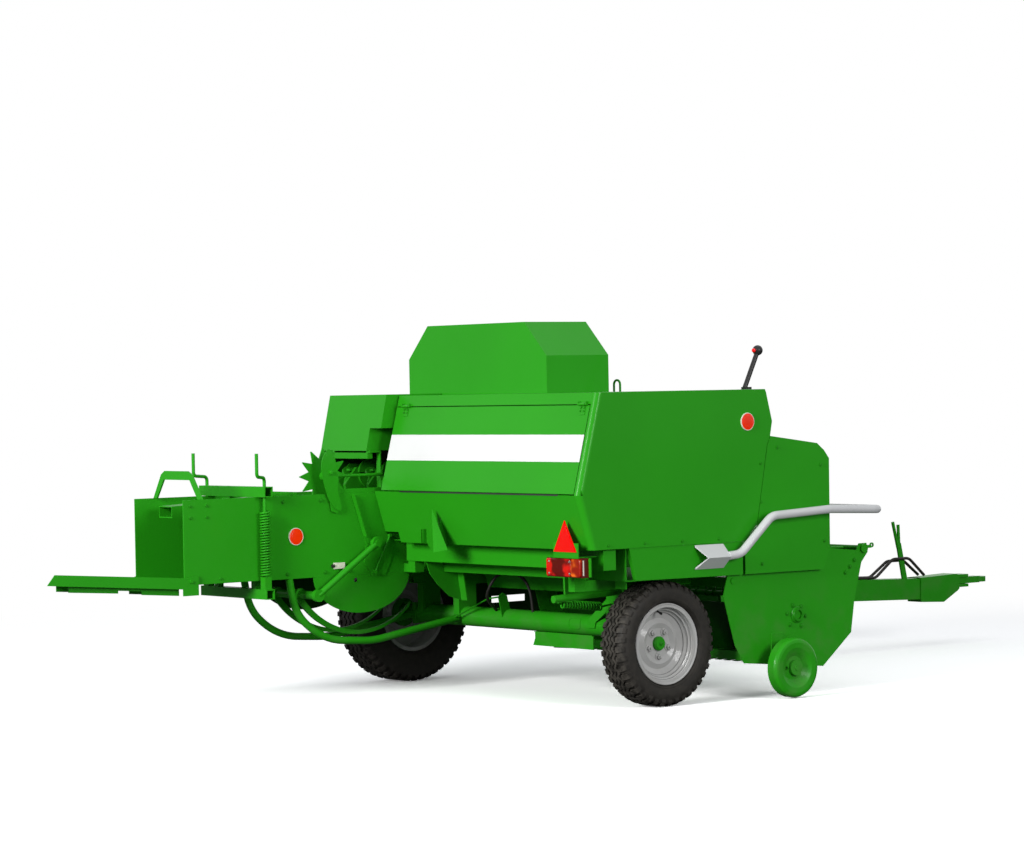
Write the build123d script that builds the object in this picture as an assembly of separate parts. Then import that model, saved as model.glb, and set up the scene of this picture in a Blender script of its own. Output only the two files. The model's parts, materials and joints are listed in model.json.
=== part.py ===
"""Towed square baler: a bale chamber with knotters, a box body with feeder and twine box,
a tined pickup on the right, two wheels, a drawbar and a parking jack.
Millimetres. +X points forward to the tractor, +Y to the left, +Z up, and the ground is at Z = 0.
While the pieces are drawn, X = 0 is the wheel axle and Y = 0 the middle of the track;
the finished pieces are then moved so that the origin lies under the middle of the machine."""
from build123d import *
from collections import namedtuple
from math import sin, cos, tan, radians, hypot
import os

# Fits
seat_gap = 0.3
running_gap = 0.3
working_gap = 6.0

# Bale chamber
bale_width = 460.0
wall = 5.0
chamber_right = 486.0
chamber_left = chamber_right + bale_width
chamber_bottom = 655.0
chamber_top = 1092.0
chamber_rear = -1838.0
chamber_front = 1040.0
chute_pivot = (-1806.0, 675.0)
floor_thickness = 5.0
doubler_thickness = 2.7
doubler_front = -1357.0

# Box body; its rear face leans back from the deck to the kink and forward again below it
box_right = -1226.0
sheet = 4.0
corner_radius = 32.0
deck_rise = 512.0
deck_height = chamber_top + deck_rise
box_front = 650.0
lid_top = (-494.0, deck_height)
lid_kink = (-630.0, 1096.0)
panel_foot = (-545.0, 822.0)
lid_left = 418.0
lid_hinge_drop = 57.0
lid_hinge_height = deck_height - lid_hinge_drop
lid_hinge_offset = 9.0
lid_hinge_ys = (-1140.0, 330.0)
side_plate_thickness = 5.7

# Knotter hood: heights below the deck
knotter_hood_right = 430.0
knotter_hood_step = 100.0
hood_step_drop = 171.0
hood_skirt_drop = 292.0

# Wheels and axle
Wheel = namedtuple("Wheel", "side outward y tyre_radius tyre_width tread rim_radius rim_width")
right_tyre_width = 184.0
left_tyre_width = 250.0
right_tyre_inset = 57.0
left_tyre_clearance = 17.0
wheels = (
    Wheel("right", -1, box_right + right_tyre_inset + right_tyre_width / 2, 320.0, right_tyre_width,
          150.0, 207.0, 138.0),
    Wheel("left", 1, chamber_left + wall + left_tyre_clearance + left_tyre_width / 2, 385.0,
          left_tyre_width, 206.0, 214.0, 190.0))
rim_wall = 5.0
rim_flange = 15.0
hub_barrel_radius = 46.0
hub_flange_radius = 86.0
hub_cap_radius = 36.0
hub_reach = 140.0
hub_play = 33.0
spindle_radius = 25.0
axle_tube_radius = 54.0
axle_tube_height = 390.0
axle_tube_wall = 8.0
drop_plate = 24.0

# Needle yoke: angles turn upwards from straight forward of the pivot
yoke_pivot = (-646.0, 821.0)
needle_ys = (610.0, 825.0)
needle_width = 16.0
needle_radius = 483.0
needle_depth = 34.0
needle_tip_depth = 12.0
needle_root_angle = -146.3
needle_tip_angle = -45.0
yoke_reach = 470.0
yoke_tube_radius = 22.0
yoke_arm_y = 438.0
floor_slot = (-228.0, -158.0)
top_slot = (-290.0, -195.0)

# Metering wheel
star_centre = (-905.0, 1185.0)
star_radius = 152.0
star_valley = 95.0
star_spikes = 12

# Tall hood: rear and front faces, the corners across, and its two heights above the deck
hood_x = (-200.0, 222.0)
hood_ys = (-474.0, -294.0, 546.0, 720.0)
hood_shoulder_rise = 196.0
hood_rise = 376.0
hood_sheet = 3.0
cover_depth = -1090.0

# Pickup
pickup_right = -1195.0
pickup_left = 350.0
pickup_plate = 5.0
pickup_pivot = (420.0, 620.0)
reel_centre = (870.0, 420.0)
reel_bar_radius = 140.0
tine_tip_radius = 268.0
stripper_radius = 205.0
tine_bars = 4
tines_per_bar = 22
first_tine = -1150.0
tine_pitch = 68.0
tine_thickness = 6.0
band_width = 44.0
guard_pivot = (1365.0, 745.0)
guard_rods = 12
gauge_centre = (720.0, 160.0)
gauge_y = -1320.0
gauge_radius = 154.0
gauge_width = 62.0

# Guard rail
rail_radius = 22.0
rail_bend = 90.0
rail_y = -1300.0

# Drawbar
drawbar_y = 450.0
drawbar_pivot_x = 1200.0
drawbar_width = 100.0
drawbar_height = 128.0
drawbar_fall = 0.035
drawbar_end = 3480.0
hitch_x = 4010.0
hitch_height = 384.0
hitch_bore = 17.0
jack_x = 2400.0

# Flywheel
flywheel_y = 715.0
flywheel_z = 950.0

bodies = {}


def keep(body, node, *shapes):
    """Adds solids to a node of a body."""
    for shape in shapes:
        bodies.setdefault(body, {}).setdefault(node, []).extend(shape.solids())


def block(x0, x1, y0, y1, z0, z1):
    return Pos((x0 + x1) / 2, (y0 + y1) / 2, (z0 + z1) / 2) * Box(x1 - x0, y1 - y0, z1 - z0)


def plate_xz(points, y0, y1):
    """A plate cut in side view from (x, z) points, standing between y0 and y1."""
    outline = Polyline(*[(x, y0, z) for x, z in points], close=True)
    return extrude(make_face(outline), amount=y1 - y0, dir=(0, 1, 0))


def plate_yz(points, x0, x1):
    """A plate cut in rear view from (y, z) points, standing between x0 and x1."""
    outline = Polyline(*[(x0, y, z) for y, z in points], close=True)
    return extrude(make_face(outline), amount=x1 - x0, dir=(1, 0, 0))


def plate_xy(points, z0, z1):
    """A plate cut in plan from (x, y) points, lying between z0 and z1."""
    outline = Polyline(*[(x, y, z0) for x, y in points], close=True)
    return extrude(make_face(outline), amount=z1 - z0, dir=(0, 0, 1))


def rod_y(x, z, radius, y0, y1):
    return Pos(x, (y0 + y1) / 2, z) * Rot(90, 0, 0) * Cylinder(radius, y1 - y0)


def rod_x(y, z, radius, x0, x1):
    return Pos((x0 + x1) / 2, y, z) * Rot(0, 90, 0) * Cylinder(radius, x1 - x0)


def rod_z(x, y, radius, z0, z1):
    return Pos(x, y, (z0 + z1) / 2) * Cylinder(radius, z1 - z0)


def ring_y(x, z, outer, inner, y0, y1):
    return rod_y(x, z, outer, y0, y1) - rod_y(x, z, inner, y0 - 1, y1 + 1)


def box_tube_y(x0, x1, z0, z1, y0, y1, thickness):
    """A rectangular tube along Y, open at its ends."""
    inside = block(x0 + thickness, x1 - thickness, y0 - 1, y1 + 1, z0 + thickness, z1 - thickness)
    return block(x0, x1, y0, y1, z0, z1) - inside


def box_tube_x(x0, x1, y0, y1, z0, z1, thickness):
    """A rectangular tube along X, open at its ends."""
    inside = block(x0 - 1, x1 + 1, y0 + thickness, y1 - thickness, z0 + thickness, z1 - thickness)
    return block(x0, x1, y0, y1, z0, z1) - inside


def bent_rod(points, bend, radius):
    """A round bar or tube along straight runs joined by arcs."""
    path = FilletPolyline(*points, radius=bend)
    return sweep(Plane(path @ 0, z_dir=path % 0) * Circle(radius), path=path)


def straight_rod(a, b, radius):
    """A round bar between two points."""
    run = Vector(*b) - Vector(*a)
    return extrude(Plane(a, z_dir=run) * Circle(radius), amount=run.length)


def turned_y(profile, x, y, z, outward):
    """A turned piece about a line along Y; profile points are (radius, distance outward)."""
    outline = Polyline(*[(x + r, y + outward * d, z) for r, d in profile], close=True)
    return revolve(make_face(outline), axis=Axis((x, y, z), (0, 1, 0)), revolution_arc=360)


def along(a, b, t):
    return (a[0] + (b[0] - a[0]) * t, a[1] + (b[1] - a[1]) * t)


def sloped_sheet(a, b, y0, y1, thickness):
    """A flat sheet whose outer face runs from a to b in side view; the thickness lies forward."""
    length = hypot(b[0] - a[0], b[1] - a[1])
    nx = (b[1] - a[1]) / length * thickness
    nz = -(b[0] - a[0]) / length * thickness
    return plate_xz([a, b, (b[0] + nx, b[1] + nz), (a[0] + nx, a[1] + nz)], y0, y1)


def wheel(row):
    """Tyre, rim and hub of one wheel."""
    body = "wheel_" + row.side
    rim_r = row.rim_radius
    half = row.rim_width / 2
    tread = row.tread / 2
    bulge = row.tyre_width / 2
    bead = rim_r - rim_flange
    crown = row.tyre_radius
    tyre = turned_y([
        (bead, -half + seat_gap), (rim_r + 1, -half + seat_gap),
        (rim_r + 14, -bulge + 8), (rim_r + 44, -bulge), (rim_r + 76, -bulge + 3),
        (crown - 16, -tread - 6), (crown - 5, -tread + 6), (crown, -tread + 24),
        (crown, tread - 24), (crown - 5, tread - 6), (crown - 16, tread + 6),
        (rim_r + 76, bulge - 3), (rim_r + 44, bulge), (rim_r + 14, bulge - 8),
        (rim_r + 1, half - seat_gap), (bead, half - seat_gap)], 0, row.y, crown, row.outward)
    barrel = bead - seat_gap
    well = barrel - rim_wall
    rim = turned_y([
        (barrel, -half), (rim_r, -half - 1), (rim_r, -half - 5), (well, -half - 5),
        (well, 20), (hub_flange_radius + 40, -2), (hub_flange_radius + 20, 12),
        (hub_flange_radius - 4, 0), (hub_cap_radius + seat_gap, 0), (hub_cap_radius + seat_gap, 6),
        (hub_flange_radius - 8, 6), (hub_flange_radius + 18, 19), (hub_flange_radius + 44, 5),
        (well, 29), (well, half + 5), (rim_r, half + 5),
        (rim_r, half + 1), (barrel, half)], 0, row.y, crown, row.outward)
    hub = turned_y([
        (spindle_radius + running_gap, -hub_reach), (hub_barrel_radius, -hub_reach),
        (hub_barrel_radius, -16), (hub_flange_radius - 8, -16), (hub_flange_radius - 8, 0),
        (hub_cap_radius, 0), (hub_cap_radius, 20), (hub_cap_radius - 8, 30), (0, 30), (0, 2),
        (spindle_radius + running_gap, 2)], 0, row.y, crown, row.outward)
    keep(body, "tyre_" + row.side, tyre)
    keep(body, "rim_" + row.side, rim)
    keep(body, "hub_" + row.side, hub)


def axle():
    """Round axle tube with a drop plate and spindle at each end."""
    right, left = [row.y - row.outward * (hub_reach + hub_play + drop_plate) for row in wheels]
    beam = rod_y(0, axle_tube_height, axle_tube_radius, right, left)
    beam = beam - rod_y(0, axle_tube_height, axle_tube_radius - axle_tube_wall, right - 1, left + 1)
    for row in wheels:
        outer = row.y - row.outward * (hub_reach + hub_play)
        low, high = sorted((outer - row.outward * drop_plate, outer))
        beam = beam + block(-60, 60, low, high, row.tyre_radius - 50, axle_tube_height + 60)
        low, high = sorted((outer, row.y - row.outward * 2))
        beam = beam + rod_y(0, row.tyre_radius, spindle_radius, low, high)
    hanger_height = axle_tube_height - axle_tube_radius
    skid = plate_yz([(-600, 262), (-100, 262), (-118, 300), (-118, hanger_height - 4),
                     (-600, hanger_height - 4)], -24, -18)
    skid = skid + block(-24, 30, -590, -110, hanger_height - 4, hanger_height)
    keep("chassis", "axle_beam", beam, skid)


def chamber():
    """Walls, floor, top plate and rear fittings of the bale chamber."""
    right = block(chamber_rear, chamber_front, chamber_right - wall, chamber_right,
                  chamber_bottom, chamber_top)
    window = block(-190, 400, chamber_right - wall - 1, chamber_right + 1,
                   chamber_bottom + 30, chamber_top - 30)
    keep("chassis", "chamber_wall_right", right - window)
    keep("chassis", "chamber_wall_left",
         block(chamber_rear, chamber_front, chamber_left, chamber_left + wall,
               chamber_bottom, chamber_top))
    floor = block(chamber_rear + 8, chamber_front, chamber_right, chamber_left,
                  chamber_bottom, chamber_bottom + floor_thickness)
    top = block(-560, chamber_front, chamber_right, chamber_left, chamber_top - 5, chamber_top)
    for y in needle_ys:
        floor = floor - block(*floor_slot, y - 20, y + 20, chamber_bottom - 1, chamber_bottom + 20)
        top = top - block(*top_slot, y - 20, y + 20, chamber_top - 6, chamber_top + 1)
    keep("chassis", "chamber_plates", floor, top)
    outside = chamber_right - wall
    keep("chassis", "chamber_plates",
         block(chamber_rear, doubler_front, outside - seat_gap - doubler_thickness, outside - seat_gap,
               chamber_bottom + 2, chamber_top - 2))
    # Plate that carries the right yoke pin, with its flange and link rod
    plate_y = outside - seat_gap - side_plate_thickness
    px, pz = yoke_pivot
    side = plate_xz([(-782, 1087), (-600, 1087), (-560, 880), (-504, 802), (-533, 712), (-570, 645),
                     (-660, 645), (-705, 721), (-690, 811), (-705, 857)], plate_y, outside - seat_gap)
    flange = sloped_sheet((-705, 857), (-781, 1084), plate_y - 23, plate_y, 5)
    link = straight_rod((-540, plate_y - 9, 856), (-643, plate_y - 9, 665), 5)
    for x, z in ((-540, 856), (-643, 665)):
        link = link + rod_y(x, z, 9, plate_y - 16, plate_y)
    keep("chassis", "chamber_plates", side, flange, link)
    # Half-round guard plate under the wall
    rim = Plane((-720, outside, chamber_bottom - seat_gap), x_dir=(1, 0, 0), z_dir=(0, 1, 0))
    half_round = extrude(rim * (Ellipse(314, 203) & Pos(0, 102) * Rectangle(640, 204)), amount=wall)
    keep("chassis", "chamber_plates", half_round - rod_y(-760, 628, 12, outside - 1, outside + wall + 1))


def density_rails():
    """Upper density rail, the cross beams that squeeze it, their springs and screws."""
    rail_y0, rail_y1 = 725.0, 850.0
    rear = (-1750.0, 993.0)
    front = (-1120.0, 1026.0)
    rail = plate_xz([rear, front, (front[0], front[1] + 60), (rear[0], rear[1] + 60)], rail_y0, rail_y1)
    hollow = plate_xz([(rear[0] - 1, rear[1] + 5), (front[0] + 1, front[1] + 5), (front[0] + 1, front[1] + 55),
                       (rear[0] - 1, rear[1] + 55)], rail_y0 + 5, rail_y1 - 5)
    keep("chassis", "density_rail", rail - hollow)
    keep("chassis", "density_rail", block(-1150, -1126, chamber_right, chamber_left, 1086.4, 1110))
    beam_x0, beam_x1 = -1386.0, -1334.0
    post_top = chamber_top
    rail_top = rear[1] + 60 + (beam_x0 - rear[0]) * (front[1] - rear[1]) / (front[0] - rear[0])
    keep("chassis", "tension_gear",
         box_tube_y(beam_x0, beam_x1, chamber_top, chamber_top + 54, 404, 1028, 5),
         block(beam_x0 + 10, beam_x1 - 10, 750, 825, rail_top + 4, post_top))
    keep("chassis", "tension_gear",
         box_tube_y(beam_x0, beam_x1, 560, 612, 404, 1028, 5),
         block(beam_x0 + 10, beam_x1 - 10, 520, 560, 612, chamber_bottom),
         block(beam_x0 + 10, beam_x1 - 10, 870, 910, 612, chamber_bottom))
    screw_x = (beam_x0 + beam_x1) / 2
    for y, turn in ((444.0, 215.0), (988.0, 195.0)):
        spring = turned_z(screw_x, y, [(9, 676), (29, 676), (29, 1022), (9, 1022)])
        keep("chassis", "coil_springs", spring)
        keep("chassis", "tension_gear", block(screw_x - 20, screw_x + 20, y - 22, y + 22, 612, 676 - seat_gap))
        dx, dy = cos(radians(turn)), sin(radians(turn))
        top_x, top_y = screw_x + 105 * dx, y + 105 * dy
        crank = bent_rod([(screw_x, y, chamber_top + 54), (screw_x, y, 1192), (top_x, top_y, 1200),
                          (top_x, top_y, 1320)], 22, 9)
        keep("chassis", "tension_gear", crank, rod_z(screw_x, y, 8.5, 676 - seat_gap, chamber_top - seat_gap))
    arch = plate_yz([(951, chamber_top), (918, chamber_top), (848, 1190), (800, 1190), (660, 1190), (600, 1190),
                     (528, chamber_top), (486, chamber_top), (578, 1218), (618, 1236), (838, 1236), (872, 1218)],
                    -1720, -1710)
    keep("chassis", "tension_gear", arch)


def turned_z(x, y, profile):
    """A turned piece about a vertical line; profile points are (radius, height)."""
    outline = Polyline(*[(x + r, y, z) for r, z in profile], close=True)
    return revolve(make_face(outline), axis=Axis((x, y, 0), (0, 0, 1)), revolution_arc=360)


def chute():
    """Bale chute behind the chamber: a skew-ended floor between two lips, hinged at its ears."""
    rise = tan(radians(4.4))
    start_x, start_z = chamber_rear - 16, 637.0
    near_end, far_end = -2640.0, -2334.0
    lip_y = chamber_right - wall - seat_gap - doubler_thickness - working_gap
    far_lip_y = chamber_left + wall + working_gap
    floor = plate_xy([(start_x, lip_y), (near_end, lip_y), (far_end, far_lip_y), (start_x, far_lip_y)], 560, 900)
    slab = plate_xz([(start_x, start_z), (near_end, start_z + (start_x - near_end) * rise),
                     (near_end, start_z + (start_x - near_end) * rise + 4), (start_x, start_z + 4)],
                    lip_y - 1, far_lip_y + 1)
    keep("chute", "bale_chute", floor & slab)
    for y0, end, tall in ((lip_y - 5, near_end, 58.0), (far_lip_y, far_end, 44.0)):
        end_z = start_z + (start_x - end) * rise
        lip = plate_xz([(chamber_rear + 78, 602), (chamber_rear + 78, 704), (start_x, start_z + tall),
                        (end + 36, end_z + tall - 6), (end - 8, end_z), (start_x, start_z), (start_x, 602)],
                       y0, y0 + 5)
        hole = rod_y(chute_pivot[0], chute_pivot[1], 10 + running_gap, y0 - 1, y0 + 6)
        keep("chute", "bale_chute", lip - hole)
    under = plate_xz([(start_x - 4, start_z - seat_gap), (start_x - 4, start_z - 34), (-2080, start_z - 17),
                      (-2080, start_z + 2), (-2220, start_z + 12), (-2220, start_z - 2), (-2506, start_z + 18),
                      (-2506, start_z - seat_gap + (start_x + 2506) * rise)], lip_y + 30, lip_y + 36)
    keep("chute", "bale_chute", under, under.moved(Location((0, 120, 0))))
    for y0, y1 in ((lip_y - 12, lip_y + working_gap), (chamber_left + wall, far_lip_y + 12)):
        keep("chassis", "hinge_pins", rod_y(chute_pivot[0], chute_pivot[1], 10, y0 + seat_gap, y1 - seat_gap))


def swung(reach, angle):
    """The (x, z) point at this reach and angle from the yoke pivot."""
    return (yoke_pivot[0] + reach * cos(radians(angle)), yoke_pivot[1] + reach * sin(radians(angle)))


def needle_blade(y0, y1):
    """A curved needle that tapers to its tip, between y0 and y1."""
    middle = (needle_root_angle + needle_tip_angle) / 2
    depth = (needle_depth + needle_tip_depth) / 4
    edges = []
    for side in (1, -1):
        root = swung(needle_radius + side * needle_depth / 2, needle_root_angle)
        waist = swung(needle_radius + side * depth, middle)
        tip = swung(needle_radius + side * needle_tip_depth / 2, needle_tip_angle - 3)
        edges.append([Vector(p[0], y0, p[1]) for p in (root, waist, tip)])
    outer, inner = edges
    point = swung(needle_radius - needle_tip_depth / 2, needle_tip_angle)
    point = Vector(point[0], y0, point[1])
    outline = Wire([ThreePointArc(*outer).edge(), Line(outer[2], point).edge(), Line(point, inner[2]).edge(),
                    ThreePointArc(*inner[::-1]).edge(), Line(inner[0], outer[0]).edge()])
    return extrude(Face(outline), amount=y1 - y0, dir=(0, 1, 0))


def needles():
    """Needle yoke: two curved needles on a cross tube that swings on arms outside the chamber."""
    px, pz = yoke_pivot
    tx, tz = swung(yoke_reach, needle_root_angle)
    left = chamber_left + wall
    for y in needle_ys:
        needle = needle_blade(y - needle_width / 2, y + needle_width / 2) + rod_y(tx, tz, 34, y - 14, y + 14)
        keep("needle_yoke", "needles", needle - rod_y(tx, tz, yoke_tube_radius + seat_gap, y - 15, y + 15))
    yoke = rod_y(tx, tz, yoke_tube_radius, yoke_arm_y - 14, left + 15)
    yoke = yoke + rod_y(tx, tz, 32, yoke_arm_y - 14, yoke_arm_y + 14)
    yoke = yoke + straight_rod((px, yoke_arm_y, pz), (tx, yoke_arm_y, tz), 17)
    yoke = yoke + rod_y(px, pz, 34, yoke_arm_y - 10, yoke_arm_y + 10)
    nx, nz = (tz - pz) / yoke_reach * 30, (px - tx) / yoke_reach * 30
    arm = plate_xz([(px + nx, pz + nz), (tx + nx, tz + nz), (tx - nx, tz - nz), (px - nx, pz - nz)],
                   left + 5.3, left + 15)
    arm = arm + rod_y(px, pz, 34, left + 5.3, left + 15) + rod_y(tx, tz, 30, left + 5.3, left + 15)
    yoke = yoke + arm
    yoke = yoke - rod_y(px, pz, 20 + running_gap, yoke_arm_y - 20, left + 16)
    keep("needle_yoke", "needle_yoke_frame", yoke)
    inside = chamber_right - wall - 2 * seat_gap - side_plate_thickness
    for y0, y1 in ((yoke_arm_y - 18, inside), (left + seat_gap, left + 21)):
        keep("chassis", "hinge_pins", rod_y(px, pz, 20, y0, y1))
    guard = [(-1178, 654.7), (-1142, 470), (-965, 318), (-640, 296), (-40, 386.5)]
    for y in (500.0, 930.0):
        tube = bent_rod([(x, y, z) for x, z in guard], [250, 400, 600], 20)
        tube = tube - block(-60.3, 60, y - 21, y + 21, 300, 500)
        tube = tube - block(-1300, -1000, y - 21, y + 21, chamber_bottom - seat_gap, chamber_bottom + 30)
        keep("chassis", "needle_guard", tube)


def tying():
    """Knotters on the chamber top, the metering arm and the star wheel."""
    for y0 in (500.0, 920.0):
        keep("chassis", "knotters", plate_xz([(-556, 1092), (-556, 1150), (-470, 1236), (-380, 1236), (-330, 1092)],
                                            y0, y0 + 12))
    keep("chassis", "knotters", rod_y(-430, 1186, 17, 512.3, 919.7))
    for y in needle_ys:
        disc = ring_y(-430, 1186, 84, 17 + seat_gap, y - 52, y - 38)
        disc = disc - block(-520, -452, y - 53, y - 37, 1180, 1192)
        frame = plate_xz([(-590, 1098), (-598, 1128), (-520, 1218), (-420, 1230), (-404, 1212), (-470, 1150),
                          (-500, 1098)], y - 36, y - 16)
        frame = frame - rod_y(-430, 1186, 17 + seat_gap, y - 37, y - 15)
        hook = Pos(-560, y + 10, 1150) * Rot(20, 0, 0) * Cylinder(9, 70)
        twine_disc = Pos(-536, y + 22, 1190) * Rot(60, 0, 0) * Cylinder(34, 12)
        keep("chassis", "knotters", disc, frame, hook, twine_disc, block(-552, -520, y - 15.7, y + 14, 1200, 1212))
    arm = [(-937, 1322), (-905, 1326), (-884, 1250), (-862, 1120), (-862, 1010), (-884, 988), (-920, 1000),
           (-930, 1090), (-950, 1210)]
    slot = [(-925, 1290), (-911, 1290), (-900, 1230), (-886, 1130), (-900, 1128), (-914, 1224)]
    keep("chassis", "metering_arm", plate_xz(arm, 466, 472) - plate_xz(slot, 465, 473))
    bracket = block(-906, -560, 481, 492, chamber_top + seat_gap, 1116)
    keep("chassis", "metering_arm", bracket, rod_y(-884, 1104, 8, 472.3, 480.7))
    keep("chassis", "metering_arm", rod_y(star_centre[0], star_centre[1], 9, 472.3, 600))
    keep("chassis", "metering_arm", rod_x(506, star_centre[1], 8, star_centre[0] + 9.3, -556.3))
    spikes = []
    for i in range(star_spikes):
        for offset, radius in ((-15, star_valley), (-0.7, star_radius), (0.7, star_radius)):
            angle = radians(i * 360 / star_spikes + offset)
            spikes.append((star_centre[0] + radius * cos(angle), star_centre[1] + radius * sin(angle)))
    bore = rod_y(star_centre[0], star_centre[1], 9 + running_gap, 520, 600)
    star = plate_xz(spikes, 556, 564) + rod_y(star_centre[0], star_centre[1], 26, 530, 580)
    keep("star_wheel", "star_wheel", star - bore)
    left = chamber_left + wall
    step = deck_height - hood_step_drop
    skirt = deck_height - hood_skirt_drop
    low, high = (-640.0, skirt), (-572.0, deck_height + 8)
    waist = along(low, high, (step - skirt) / (high[1] - skirt))
    front = hood_x[0] - 4
    hood_low = knotter_hood_right + knotter_hood_step
    shell = plate_xz([waist, high, (front, high[1]), (front, step)], knotter_hood_right, left)
    shell = shell + plate_xz([low, waist, (front, step), (front, skirt)], hood_low, left)
    inside = plate_xz([(waist[0] + 4, step + 4), (high[0] + 4, high[1] - 4), (front + 4, high[1] - 4),
                       (front + 4, step + 4)], knotter_hood_right + 4, left - 4)
    inside = inside + plate_xz([(low[0] + 4, skirt - 1), (waist[0] + 5, step + 4), (front + 4, step + 4),
                                (front + 4, skirt - 1)], hood_low + 4, left - 4)
    keep("chassis", "knotter_hood", shell - inside)
    keep("chassis", "knotter_hood", block(-632, -600, hood_low, left, skirt - 42, skirt - 10))
    for y0, y1 in ((515.0, 550.0), (left - 18, left - 6)):
        strut = block(-559, -553, y0, y1, chamber_top + seat_gap, skirt - seat_gap)
        strut = strut + block(-628, -553, y0, y1, skirt - 10 + seat_gap, skirt - seat_gap)
        keep("chassis", "knotter_hood", strut)


def corner(low, high, z0, z1):
    """Rounded corner between the right side and a sloping rear face, from low to high."""
    a, b = along(low, high, -0.2), along(low, high, 1.2)
    up = Vector(b[0] - a[0], 0, b[1] - a[1])
    profile = Pos(corner_radius, -corner_radius) * (Circle(corner_radius) - Circle(corner_radius - sheet))
    half = corner_radius / 2
    profile = profile & Pos(half, -half) * Rectangle(corner_radius, corner_radius)
    plane = Plane(origin=(a[0], box_right, a[1]), x_dir=(0, 1, 0), z_dir=up)
    return extrude(plane * profile, amount=up.length) & block(-900, 0, box_right - 1, -1100, z0, z1)


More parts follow.
